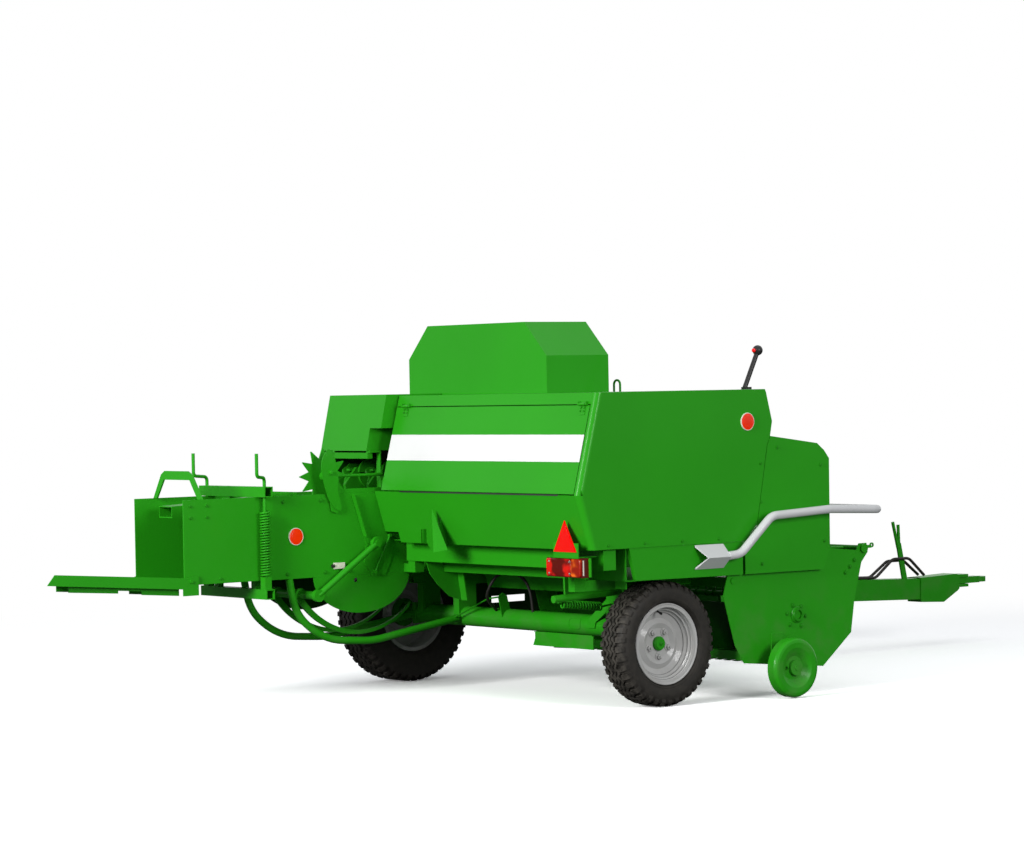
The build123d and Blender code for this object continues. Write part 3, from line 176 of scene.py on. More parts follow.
def paint_finish(name, colour, roughness=0.32, coat=0.05, dust=0.2):
    """Sprayed enamel: slight colour drift, orange peel, faint sheet waviness and dust near the ground."""
    paint = Finish(name, colour, roughness, coat=coat, gleam=0.12)
    drift = paint.noise(1.7, 4.0)
    streak = paint.noise(22.0, 5.0)
    shade = paint.mix(paint.spread(drift, 0.3, 0.7), scaled(colour, 0.97), scaled(colour, 1.03))
    shade = paint.mix(paint.spread(streak, 0.62, 0.8, 0.0, 0.05), shade, scaled(colour, 0.7))
    height = paint.along("Z")
    low = paint.spread(height, 0.05, 0.75, dust, 0.0) * paint.spread(paint.noise(9.0, 6.0), 0.4, 0.7)
    shade = paint.mix(low, shade, (0.17, 0.15, 0.11, 1.0))
    paint.set("Base Color", shade)
    paint.set("Roughness", paint.spread(streak, 0.3, 0.75, roughness - 0.03, roughness + 0.05) + low * 0.4)
    wave = paint.bump(paint.noise(2.6, 1.0), 0.004, 0.5)
    paint.set("Normal", paint.bump(paint.noise(600.0, 2.0), 0.0002, 0.12, wave))
    return paint.material


def cast_finish(name, colour):
    """Rougher painted castings and forgings."""
    paint = Finish(name, colour, 0.42, coat=0.04, gleam=0.12)
    grain = paint.noise(160.0, 4.0)
    paint.set("Base Color", paint.mix(paint.spread(paint.noise(6.0), 0.3, 0.7), scaled(colour, 0.86),
                                      scaled(colour, 1.03)))
    paint.set("Roughness", paint.spread(grain, 0.3, 0.7, 0.34, 0.52))
    paint.set("Normal", paint.bump(grain, 0.0009, 0.6))
    return paint.material


def rubber_finish(name, colour, tyre_radius):
    """Tyre rubber: dry bloom on the sidewall, dust in the tread."""
    rubber = Finish(name, colour, 0.62)
    across = rubber.noise(34.0, 5.0)
    shade = rubber.mix(rubber.spread(across, 0.35, 0.75, 0.0, 0.8), scaled(colour, 0.8),
                       scaled(colour, 1.7))
    centre = rubber.node("ShaderNodeVectorMath", {"operation": "SUBTRACT"},
                         {0: rubber.place(), 1: (AXLE.x, 0.0, tyre_radius)})
    flat = rubber.node("ShaderNodeVectorMath", {"operation": "MULTIPLY"}, {0: centre, 1: (1.0, 0.0, 1.0)})
    reach = rubber.node("ShaderNodeVectorMath", {"operation": "LENGTH"}, {0: flat}, output="Value")
    tread_from = tyre_radius - 0.03
    dusty = rubber.spread(reach, tread_from, tyre_radius, 0.0, 0.45) * rubber.spread(across, 0.35, 0.65)
    rubber.set("Base Color", rubber.mix(dusty, shade, (0.105, 0.095, 0.08, 1.0)))
    rubber.set("Roughness", 0.52 + rubber.spread(across, 0.3, 0.7, 0.0, 0.22))
    rings = rubber.node("ShaderNodeMath", {"operation": "SINE"}, {0: reach * 620.0})
    side = rubber.spread(reach, tread_from - 0.02, tread_from, 1.0, 0.0)
    fine = rubber.noise(300.0, 3.0)
    rubber.set("Normal", rubber.bump(fine + rings * side * 0.12, 0.0008, 0.5))
    return rubber.material


def metal_finish(name, colour, roughness):
    """Bare or plated metal with fine brushed lines."""
    metal = Finish(name, colour, roughness, metallic=1.0)
    stretched = metal.node("ShaderNodeMapping", inputs={"Vector": metal.place(), "Scale": (6.0, 90.0, 90.0)})
    lines = metal.noise(8.0, 5.0, stretched)
    metal.set("Base Color", metal.mix(metal.spread(metal.noise(14.0, 4.0), 0.35, 0.75), scaled(colour, 0.82),
                                      scaled(colour, 1.08)))
    metal.set("Roughness", metal.spread(lines, 0.3, 0.7, roughness - 0.06, roughness + 0.12))
    metal.set("Normal", metal.bump(lines, 0.0004, 0.3))
    return metal.material


def lens_finish(name, colour, cell, painted_highlight=None, light=0.12):
    """Moulded reflex lens: small domed cells under a glossy skin, each painted lighter at its centre and
    darker at its edge, with painted highlight patches where asked and a faint painted glow.
    """
    cell_depth = 0.0012
    lens = Finish(name, colour, 0.16, coat=0.15)
    cells = lens.node("ShaderNodeTexVoronoi", {"feature": "F1"}, {"Vector": lens.place(), "Scale": cell,
                                                                 "Randomness": 0.0})
    # Lighter at each cell's centre, darker at its edge: painted highlight and shade on the domes
    shade = lens.mix(lens.spread(cells, 0.0, 0.7), scaled(colour, 1.25), scaled(colour, 0.6))
    if painted_highlight:
        # Bright patches as from the reflector bowl behind the lens: painted reflection
        highlight_patches = lens.spread(lens.noise(11.0, 2.0), 0.46, 0.62)
        shade = lens.mix(highlight_patches, shade, painted_highlight + (1.0,))
    lens.set("Base Color", shade)
    # The lens gives off light in its own colour: painted glow
    lens.set("Emission Color", shade)
    lens.shader.inputs["Emission Strength"].default_value = light
    lens.set("Normal", lens.bump(1.0 - cells, cell_depth, 0.7))
    return lens.material


def plain_plastic(name, colour, roughness=0.4):
    plastic = Finish(name, colour, roughness)
    grain = plastic.noise(260.0, 3.0)
    plastic.set("Base Color", plastic.mix(plastic.spread(plastic.noise(20.0), 0.3, 0.7), scaled(colour, 0.85),
                                          scaled(colour, 1.1)))
    plastic.set("Roughness", plastic.spread(grain, 0.3, 0.7, roughness - 0.05, roughness + 0.1))
    plastic.set("Normal", plastic.bump(grain, 0.0004, 0.4))
    return plastic.material


FINISHES = {}


def finish(name):
    """The named finish, made once; the panel's colours feed the ones that it lists."""
    if name not in FINISHES:
        tones = bpy.context.scene.baler_colours
        makers = {
            "green": lambda: paint_finish("baler_green", tones.body),
            "green_dark": lambda: cast_finish("baler_green_castings", scaled(tones.body, 0.8)),
            "green_spring": lambda: cast_finish("baler_green_wire", tones.body),
            "rail": lambda: paint_finish("rail_grey", tones.rail, 0.36, 0.25, 0.1),
            "silver": lambda: paint_finish("rim_silver", tones.rim, 0.34, 0.3, 0.2),
            "rubber_right": lambda: rubber_finish("tyre_rubber_right", tones.rubber, RIGHT_TYRE_RADIUS),
            "rubber_left": lambda: rubber_finish("tyre_rubber_left", tones.rubber, LEFT_TYRE_RADIUS),
            "hose": lambda: plain_plastic("hose_rubber", scaled(tones.rubber, 0.9), 0.5),
            "black": lambda: plain_plastic("black_plastic", (0.02, 0.02, 0.02), 0.35),
            "steel": lambda: metal_finish("bare_steel", (0.42, 0.42, 0.41), 0.34),
            "zinc": lambda: metal_finish("zinc_fasteners", (0.62, 0.62, 0.58), 0.3),
            "white": lambda: paint_finish("stripe_white", tones.stripe, 0.32, 0.3, 0.0),
            "cream": lambda: plain_plastic("cream_plastic", (0.80, 0.76, 0.66), 0.4),
            # Near-black for the painted shadow lines at the inner corners of the rim steps
            "painted_shadow_line": lambda: plain_plastic("rim_painted_shadow", (0.10, 0.10, 0.10), 0.5),
            # Body green darkened to 0.22: painted shade for plates that lie in shadow under and inside the
            # machine
            "green_painted_shade": lambda: cast_finish("baler_green_painted_shade", scaled(tones.body, 0.22)),
            "lens_dark": lambda: plain_plastic("lamp_housing", (0.10, 0.004, 0.004), 0.3),
            "lens_red": lambda: lens_finish("lens_red", (0.16, 0.001, 0.003), 150.0,
                                            painted_highlight=(0.62, 0.006, 0.004)),
            "lens_orange": lambda: lens_finish("lens_orange", (0.42, 0.012, 0.002), 150.0,
                                               painted_highlight=(0.90, 0.16, 0.01)),
            # The reflectors glow at 0.4 though they are no lamps: painted light
            "reflex": lambda: lens_finish("reflector_lens", (0.87, 0.026, 0.001), 190.0, light=0.4),
            "triangle": lambda: lens_finish("triangle_lens", (0.87, 0.002, 0.002), 190.0, light=0.4),
        }
        FINISHES[name] = makers[name]()
    return FINISHES[name]


# Shapes -----------------------------------------------------------------------------------------


def rounded(path, cuts):
    """A smooth curve through the points of a path, with this many steps between neighbours."""
    ends = [path[0] * 2 - path[1]] + list(path) + [path[-1] * 2 - path[-2]]
    curve = []
    for i in range(1, len(ends) - 2):
        a, b, c, d = ends[i - 1:i + 3]
        for k in range(cuts):
            t = k / cuts
            curve.append(0.5 * (2 * b + (c - a) * t + (2 * a - 5 * b + 4 * c - d) * t ** 2
                                + (3 * b - a - 3 * c + d) * t ** 3))
    return curve + [path[-1]]


class Shape:
    """Collects points and faces of one piece."""

    def __init__(self):
        self.points = []
        self.faces = []

    def add(self, points, faces):
        start = len(self.points)
        self.points.extend(tuple(p) for p in points)
        self.faces.extend(tuple(start + i for i in face) for face in faces)

    def box(self, low, high):
        (x0, y0, z0), (x1, y1, z1) = low, high
        points = [(x, y, z) for x in (x0, x1) for y in (y0, y1) for z in (z0, z1)]
        self.add(points, [(0, 1, 3, 2), (4, 6, 7, 5), (0, 4, 5, 1), (2, 3, 7, 6), (0, 2, 6, 4), (1, 5, 7, 3)])

    def prism(self, outline, offset):
        """A flat outline of points thickened by an offset vector."""
        count = len(outline)
        far = [Vector(p) + Vector(offset) for p in outline]
        self.add(list(outline) + far, [tuple(range(count))[::-1], tuple(range(count, 2 * count))] +
                 [(i, (i + 1) % count, count + (i + 1) % count, count + i) for i in range(count)])

    def lathe(self, profile, centre, axis, segments=48):
        """Turns a closed outline of (radius, distance) points about a line through centre along axis."""
        axis = Vector(axis).normalized()
        side = axis.orthogonal().normalized()
        up = axis.cross(side)
        points = []
        for i in range(segments):
            angle = 2 * math.pi * i / segments
            ray = side * math.cos(angle) + up * math.sin(angle)
            points.extend(Vector(centre) + ray * radius + axis * distance for radius, distance in profile)
        count = len(profile)
        faces = []
        for i in range(segments):
            a, b = i * count, ((i + 1) % segments) * count
            for j in range(count):
                k = (j + 1) % count
                faces.append((a + j, b + j, b + k, a + k))
        self.add(points, faces)

    def tube(self, path, radius, sides=10):
        """A round bar through the points of a path; radius is one number or one for each point."""
        path = [Vector(p) for p in path]
        radii = radius if isinstance(radius, (list, tuple)) else [radius] * len(path)
        points, faces = [], []
        heading = (path[1] - path[0]).normalized()
        side = heading.orthogonal().normalized()
        for i, spot in enumerate(path):
            ahead = (path[min(i + 1, len(path) - 1)] - path[max(i - 1, 0)]).normalized()
            side = (side - ahead * side.dot(ahead)).normalized()
            up = ahead.cross(side)
            for k in range(sides):
                angle = 2 * math.pi * k / sides
                points.append(spot + (side * math.cos(angle) + up * math.sin(angle)) * radii[i])
        for i in range(len(path) - 1):
            for k in range(sides):
                n = (k + 1) % sides
                faces.append((i * sides + k, i * sides + n, (i + 1) * sides + n, (i + 1) * sides + k))
        faces.append(tuple(range(sides))[::-1])
        faces.append(tuple(range(len(points) - sides, len(points))))
        self.add(points, faces)

    def bolt(self, spot, out, radius, turn=0.3):
        """A hexagon head on a washer, standing on spot and pointing out."""
        out = Vector(out).normalized()
        self.lathe([(CORE, 0), (radius * 1.45, 0), (radius * 1.45, radius * 0.22), (CORE, radius * 0.22)],
                   spot, out, 20)
        side = Matrix.Rotation(turn, 3, out) @ out.orthogonal().normalized()
        up = out.cross(side)
        base = Vector(spot) + out * radius * 0.22
        rim = [base + (side * math.cos(a) + up * math.sin(a)) * radius for a in
               (math.pi * k / 3 for k in range(6))]
        crown = [p + out * radius * 0.75 for p in rim]
        cap = [base + out * radius * 0.9 + (p - base) * 0.78 for p in rim]
        self.add(rim + crown + cap, [(k, (k + 1) % 6, 6 + (k + 1) % 6, 6 + k) for k in range(6)] +
                 [(6 + k, 6 + (k + 1) % 6, 12 + (k + 1) % 6, 12 + k) for k in range(6)] +
                 [tuple(range(12, 18))])

    def piece(self, name, body, surface, smooth=0.6, replaces=()):
        """Makes the Blender object and rides it on its body."""
        mesh = bpy.data.meshes.new(name)
        mesh.from_pydata(self.points, [], self.faces)
        mesh.validate()
        obj = bpy.data.objects.new(name, mesh)
        bpy.context.scene.collection.objects.link(obj)
        mesh.materials.append(finish(surface))
        if smooth:
            mesh.shade_smooth()
            mesh.set_sharp_from_angle(angle=smooth)
        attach(obj, body)
        if replaces:
            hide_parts(*replaces)


# Panel values -----------------------------------------------------------------------------------


class BalerColours(bpy.types.PropertyGroup):
    body: bpy.props.FloatVectorProperty(name="Body", description="Green enamel of the machine",
                                        subtype="COLOR", default=(0.021, 0.31, 0.008), min=0, max=1)
    rail: bpy.props.FloatVectorProperty(name="Rail", description="Light grey of the guard rail",
                                        subtype="COLOR", default=(0.60, 0.61, 0.62), min=0, max=1)
    rim: bpy.props.FloatVectorProperty(name="Rims", description="Silver enamel of the wheel rims",
                                       subtype="COLOR", default=(0.48, 0.48, 0.47), min=0, max=1)
    rubber: bpy.props.FloatVectorProperty(name="Rubber", description="Black of the tyres and hoses",
                                          subtype="COLOR", default=(0.020, 0.018, 0.015), min=0, max=1)
    stripe: bpy.props.FloatVectorProperty(name="Stripe", description="White band across the rear lid",
                                          subtype="COLOR", default=(0.80, 0.80, 0.80), min=0, max=1)


class BalerSizes(bpy.types.PropertyGroup):
    tread_blocks: bpy.props.IntProperty(name="Tread blocks", description="Blocks round the right tyre",
                                        default=40, min=20, max=60)
    tread_depth: bpy.props.FloatProperty(name="Tread depth", description="Depth of the tread grooves",
                                         default=0.012, min=0.002, max=0.02, unit="LENGTH")
    spring_wire: bpy.props.FloatProperty(name="Spring wire", description="Radius of the spring wire",
                                         default=0.0048, min=0.002, max=0.01, unit="LENGTH")
    tine_wire: bpy.props.FloatProperty(name="Tine wire", description="Radius of the pickup tine wire",
                                       default=0.0028, min=0.001, max=0.005, unit="LENGTH")


# Operators --------------------------------------------------------------------------------------


class BALER_OT_paint(bpy.types.Operator):
    """Give every CAD node its finish"""
    bl_idname = "baler.paint"
    bl_label = "Paint the nodes"

    def execute(self, context):
        by_slot = {"green_paint": "green", "rubber": "rubber_right", "silver_paint": "silver",
                   "steel": "steel", "lamp_plastic": "lens_red", "rail_paint": "rail"}
        # Nodes whose finish isn't that of their slot
        special = {"hoses": "hose", "gearbox": "green_dark", "flywheel": "green_dark",
                   "knotters": "green_dark", "control_lever": "black", "wind_guard": "green",
                   "hub_right": "green", "hub_left": "green"}
        slots = {part["node"]: part["material_slot"] for part in frame["record"]["subparts"]}
        for node, obj in frame["nodes"].items():
            surface = finish(special.get(node, by_slot[slots[node]]))
            obj.data.materials.clear()
            obj.data.materials.append(surface)
        return {"FINISHED"}


def wheel_centre(side):
    low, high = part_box("rim_" + side)
    return (low + high) / 2


class BALER_OT_tyres(bpy.types.Operator):
    """Build both tyres with their zigzag ribs and shoulder blocks"""
    bl_idname = "baler.tyres"
    bl_label = "Tyres"

    def execute(self, context):
        sizes = context.scene.baler_sizes
        for side, _, rim, rim_half, tread in WHEELS:
            low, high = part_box("tyre_" + side)
            crown, half = (high.z - low.z) / 2, (high.y - low.y) / 2
            blocks = round(sizes.tread_blocks * crown / RIGHT_TYRE_RADIUS)
            tyre = Shape()
            self.carcass(tyre, (low + high) / 2, crown - sizes.tread_depth, half, rim, rim_half, tread)
            self.ribs(tyre, (low + high) / 2, crown, sizes.tread_depth, tread, blocks)
            self.shoulders(tyre, (low + high) / 2, crown, sizes.tread_depth, half, tread, blocks)
            tyre.piece("tyre_tread_" + side, "wheel_" + side, "rubber_" + side, 0.5, ("tyre_" + side,))
        return {"FINISHED"}

    def carcass(self, tyre, centre, crown, half, rim, rim_half, tread):
        edge = rim_half - 0.0003
        # One side of the carcass from the bead to the crown: (radius, distance across)
        wall = [(rim - 0.0145, edge), (rim + 0.002, edge), (rim + 0.010, half - 0.012),
                (rim + 0.016, half - 0.006), (rim + 0.0185, half - 0.0068), (rim + 0.021, half - 0.0036),
                (rim + 0.045, half - 0.0002), (rim + 0.065, half - 0.0015), (crown - 0.023, half - 0.0055),
                (crown - 0.007, tread + 0.003), (crown - 0.001, tread - 0.009), (crown, tread - 0.035)]
        tyre.lathe([(r, -y) for r, y in wall] + wall[::-1], centre, (0, 1, 0), 120)

    def ribs(self, tyre, centre, crown, depth, tread, blocks):
        share = tread / RIGHT_TREAD_HALF
        width, swing = 0.0098 * share, 0.0072
        steps = blocks * 4
        for middle in (-0.0265 * share, 0.0, 0.0265 * share):
            points, faces = [], []
            for i in range(steps):
                angle = 2 * math.pi * i / steps
                shift = swing * (1 if i % 4 in (0, 1) else -1)
                for radius, y in ((crown - depth - 0.002, middle + shift - width),
                                  (crown - 0.0012, middle + shift - width + 0.0012),
                                  (crown - 0.0012, middle + shift + width - 0.0012),
                                  (crown - depth - 0.002, middle + shift + width)):
                    points.append((centre.x + radius * math.cos(angle), centre.y + y,
                                   centre.z + radius * math.sin(angle)))
            for i in range(steps):
                a, b = i * 4, ((i + 1) % steps) * 4
                faces.extend((a + j, b + j, b + j + 1, a + j + 1) for j in range(3))
            tyre.add(points, faces)

    def shoulders(self, tyre, centre, crown, depth, half, tread, blocks):
        for i in range(blocks):
            for edge in (-1, 1):
                start = 2 * math.pi * (i + (0.25 if edge > 0 else 0.0)) / blocks
                width = 2 * math.pi / blocks * 0.68
                long = 0.004 if i % 2 else 0.0
                # One shoulder block: (radius, distance across) from the inner groove over the shoulder
                outline = ((crown - depth - 0.003, tread - 0.0335), (crown - 0.0012, tread - 0.0325),
                           (crown - 0.002, tread - 0.013), (crown - 0.009, tread + 0.0025 + long * 0.5),
                           (crown - 0.024, half - 0.0055 + long * 0.6),
                           (crown - 0.042, half - 0.0050 + long * 0.3),
                           (crown - 0.050, half - 0.016), (crown - depth - 0.03, tread - 0.005))
                points = []
                for turn in (start + 0.010, start + width - 0.010):
                    for radius, y in outline:
                        points.append((centre.x + radius * math.cos(turn + y * 0.35 * edge),
                                       centre.y + edge * y,
                                       centre.z + radius * math.sin(turn + y * 0.35 * edge)))
                count = len(outline)
                tyre.add(points, [tuple(range(count)), tuple(range(count, 2 * count))[::-1]] +
                         [(j, count + j, count + (j + 1) % count, (j + 1) % count) for j in range(count)])


class BALER_OT_wheel_trims(bpy.types.Operator):
    """Rim steps with painted shadow lines at their inner corners, wheel bolts, valve stems and hub grease
    caps
    """
    bl_idname = "baler.wheel_trims"
    bl_label = "Wheel trims"

    def execute(self, context):
        for side, outward, rim, rim_half, _ in WHEELS:
            centre = wheel_centre(side)
            out = Vector((0, outward, 0))
            barrel = Shape()
            # Rolled steps of the barrel: (drop from the flange radius, share of the way out from the disc)
            steps = ((0.0, 1.10), (0.001, 1.17), (0.005, 1.17), (0.0075, 1.11), (0.0145, 1.09),
                     (0.0165, 0.80), (0.0245, 0.72), (0.0265, 0.52), (0.0350, 0.44), (0.0370, 0.22),
                     (0.0470, 0.04))
            disc = 0.020
            roll = [(rim - drop, disc + (rim_half - disc) * share) for drop, share in steps]
            barrel.lathe(roll + [(r + 0.0012, y - 0.0012) for r, y in roll[::-1]], centre, out, 96)
            barrel.piece("rim_steps_" + side, "wheel_" + side, "silver", 0.35)
            # Thin dark rings at the inner corners of the steps: painted shadow
            shadow_lines = Shape()
            for drop, share in (steps[4], steps[6], steps[8], steps[10]):
                r, y = rim - drop - 0.0004, disc + (rim_half - disc) * share
                shadow_lines.lathe([(r, y - 0.0022), (r - 0.0012, y - 0.0011), (r, y)], centre, out, 96)
            shadow_lines.piece("rim_shadow_rings_" + side, "wheel_" + side, "painted_shadow_line", 0)
            bolts = Shape()
            for k in range(5):
                angle = math.radians(90 + 36 + 72 * k)
                spot = centre + Vector((math.cos(angle), 0, math.sin(angle))) * 0.068 + out * 0.007
                bolts.bolt(spot, out, 0.0150, 0.4 * k)
                bolts.lathe([(CORE, 0.010), (0.0062, 0.010), (0.0062, 0.024), (CORE, 0.024)], spot, out, 16)
            bolts.piece("wheel_bolts_" + side, "wheel_" + side, "silver")
            valve = Shape()
            spot = centre + Vector((-0.03, 0, 0.168)) + out * 0.03
            knee = spot + out * 0.03 - Vector((0, 0, 0.008))
            valve.tube([spot, spot + out * 0.012, knee], 0.005)
            valve.tube([knee, spot + out * 0.042 - Vector((0, 0, 0.013))], 0.0065)
            valve.piece("valve_" + side, "wheel_" + side, "black")
            cap = Shape()
            cap.lathe([(CORE, 0.0302), (0.010, 0.0302), (0.011, 0.034), (0.006, 0.037), (CORE, 0.037)],
                      centre, out, 24)
            cap.piece("hub_grease_cap_" + side, "wheel_" + side, "green_dark")
        return {"FINISHED"}


class BALER_OT_springs(bpy.types.Operator):
    """Wind the two tension springs and the lift spring inboard of the right wheel"""
    bl_idname = "baler.springs"
    bl_label = "Coil springs"

    def execute(self, context):
        wire = context.scene.baler_sizes.spring_wire
        coils = Shape()
        for y in (0.444, 0.988):
            self.wind(coils, at(-1.360, y, 0.676), at(-1.360, y, 1.022), 0.029, wire, 24)
        coils.piece("spring_coils", "chassis", "green_spring", 0.9, ("coil_springs",))
        lift = Shape()
        rear, front = at(-0.405, -0.80, 0.532), at(-0.130, -0.80, 0.503)
        self.wind(lift, rear, front, 0.024, wire, 15)
        # Rise from the spring's middle line to its coils, and the radius of the wire of its end hooks
        rise, hook = Vector((0, 0, 0.019)), 0.0055
        lift.tube([at(-0.395, -0.853, 0.575), at(-0.412, -0.83, 0.555), at(-0.425, -0.805, 0.540), rear,
                   rear.lerp(front, 0.06) + rise], hook, 8)
        lift.tube([rear.lerp(front, 0.94) + rise, front, at(-0.0605, -0.80, 0.512)], hook, 8)
        lift.piece("lift_spring", "chassis", "green_spring", 0.9)
        return {"FINISHED"}

    def wind(self, shape, start, end, radius, wire, turns):
        way = (end - start).normalized()
        length = (end - start).length
        side = way.orthogonal().normalized()
        up = way.cross(side)
        per_turn = 14
        path = []
        for i in range(turns * per_turn + 1):
            angle = 2 * math.pi * i / per_turn
            travel = wire + (length - 2 * wire) * i / (turns * per_turn)
            ray = side * math.cos(angle) + up * math.sin(angle)
            path.append(start + way * travel + ray * (radius - wire))
        shape.tube(path, wire, 7)


class BALER_OT_tines(bpy.types.Operator):
    """Bend the pickup tines from round spring wire with their coils round the bars"""
    bl_idname = "baler.tines"
    bl_label = "Pickup tines"

    def execute(self, context):
        wire = context.scene.baler_sizes.tine_wire
        low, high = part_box("reel_tines")
        middle = (low + high) / 2
        centre = Vector((middle.x, 0, middle.z))
        bar_radius, tip_radius = 0.140, 0.268
        pitch, count = 0.068, 22
        # Each coil round its bar: radius, points, degrees and sideways travel from point to point
        coil_radius, coil_points, coil_turn, coil_travel = 0.0175, 15, 36, 0.0007
        lean = math.radians(14)
        first = low.y + 0.003
        tines = Shape()
        for bar in range(4):
            angle = math.radians(45 + 90 * bar)
            bar_spot = centre + Vector((math.cos(angle), 0, math.sin(angle))) * bar_radius
            trail = angle - lean
            tip = centre + Vector((math.cos(trail), 0, math.sin(trail))) * tip_radius
            ray = Vector((math.cos(angle), 0, math.sin(angle)))
            around = Vector((-math.sin(angle), 0, math.cos(angle)))
            for i in range(count):
                y = first + pitch * i
                turns = 1 if i % 2 else -1
                path = []
                for k in range(coil_points):
                    wind = math.radians(-90 + k * coil_turn)
                    way = ray * math.sin(wind + math.pi) - around * math.cos(wind)
                    spot = bar_spot + way * coil_radius
                    path.append(spot + Vector((0, y + turns * coil_travel * (coil_points - k), 0)))
                knee = bar_spot + ray * 0.045 - around * 0.002
                for share in (0.35, 0.6, 0.85, 1.0):
                    spot = knee.lerp(tip, share)
                    path.append(spot + Vector((0, y, 0)))
                tines.tube(path, [wire] * (len(path) - 1) + [wire * 0.6], 6)
        tines.piece("tine_wires", "reel", "green_dark", 0.9, ("reel_tines",))
        return {"FINISHED"}


class BALER_OT_lid_trims(bpy.types.Operator):
    """White band, hinge screws and a black strip under the rear lid, painted as the shadow in its gap"""
    bl_idname = "baler.lid_trims"
    bl_label = "Lid trims"

    def execute(self, context):
        top = at(-0.494, 0, 1.604)
        kink = at(-0.630, 0, 1.096)
        down = (kink - top).normalized()
        out = Vector((down.z, 0, -down.x))

        def on_lid(z, y, lift=0.0):
            share = (top.z - z) / (top.z - kink.z)
            spot = top.lerp(kink, share)
            return Vector((spot.x, AXLE.y + y, spot.z)) + out * lift

        band = Shape()
        left, right = 0.4175, -1.1885
        corners = [on_lid(z, y, HAIR) for z, y in
                   ((1.396, right), (1.396, left), (1.261, left), (1.261, right))]
        band.prism(corners, out * 0.0006)
        band.piece("lid_band", "lid", "white", 0)
        screws = Shape()
        for y in (-1.140, 0.330):
            for shift in (-0.013, 0.013):
                screws.bolt(on_lid(1.512, y + shift, 0.0036), out, 0.0045)
                screws.bolt(on_lid(1.528, y + shift, 0.0036), out, 0.0045)
        screws.piece("lid_hinge_screws", "lid", "green_dark")
        # Black strip along the gap under the lid: painted shadow
        slot = Shape()
        slot.prism([on_lid(z, y, HAIR) for z, y in
                    ((1.0995, 0.250), (1.0995, -1.070), (1.0935, -1.070), (1.0935, 0.250))], out * 0.0012)
        slot.piece("lid_gap_painted_shadow", "chassis", "black", 0)
        return {"FINISHED"}


class BALER_OT_reflectors(bpy.types.Operator):
    """Round side reflectors and the two red triangles"""
    bl_idname = "baler.reflectors"
    bl_label = "Reflectors"

    def execute(self, context):
        rings, lenses, triangles, borders = Shape(), Shape(), Shape(), Shape()
        # Round reflectors: (place on the wall, outward direction)
        discs = ((at(0.512, SIDE_PANEL_Y, 1.438), -1), (at(-1.144, RIGHT_WALL_Y, 0.876), -1),
                 (at(-1.144, LEFT_WALL_Y, 0.876), 1))
        for spot, outward in discs:
            out = Vector((0, outward, 0))
            rings.lathe([(0.0425, 0.0003), (0.046, 0.0003), (0.046, 0.006), (0.0448, 0.0072),
                         (0.0425, 0.0072)], spot, out, 64)
            lenses.lathe([(CORE, 0.0003), (0.0423, 0.0003), (0.0423, 0.0062), (0.039, 0.0072),
                          (0.02, 0.0078), (CORE, 0.008)], spot, out, 64)
        for middle in (-1.100, 1.148):
            x, half_width = -0.6181, 0.088
            corners = [at(x, middle - half_width, 0.815), at(x, middle + half_width, 0.815),
                       at(x, middle, 0.972)]
            heart = sum(corners, Vector()) / 3
            inside = [heart + (c - heart) * 0.93 for c in corners]
            borders.prism(corners, (0.006, 0, 0))
            triangles.prism([c - Vector((HAIR, 0, 0)) for c in inside], (-0.0022, 0, 0))
        rings.piece("reflector_rings", "chassis", "cream", 0.6, ("reflectors",))
        lenses.piece("reflector_lenses", "chassis", "reflex")
        triangles.piece("triangle_lenses", "chassis", "triangle", 0)
        borders.piece("triangle_backs", "chassis", "triangle", 0)
        return {"FINISHED"}


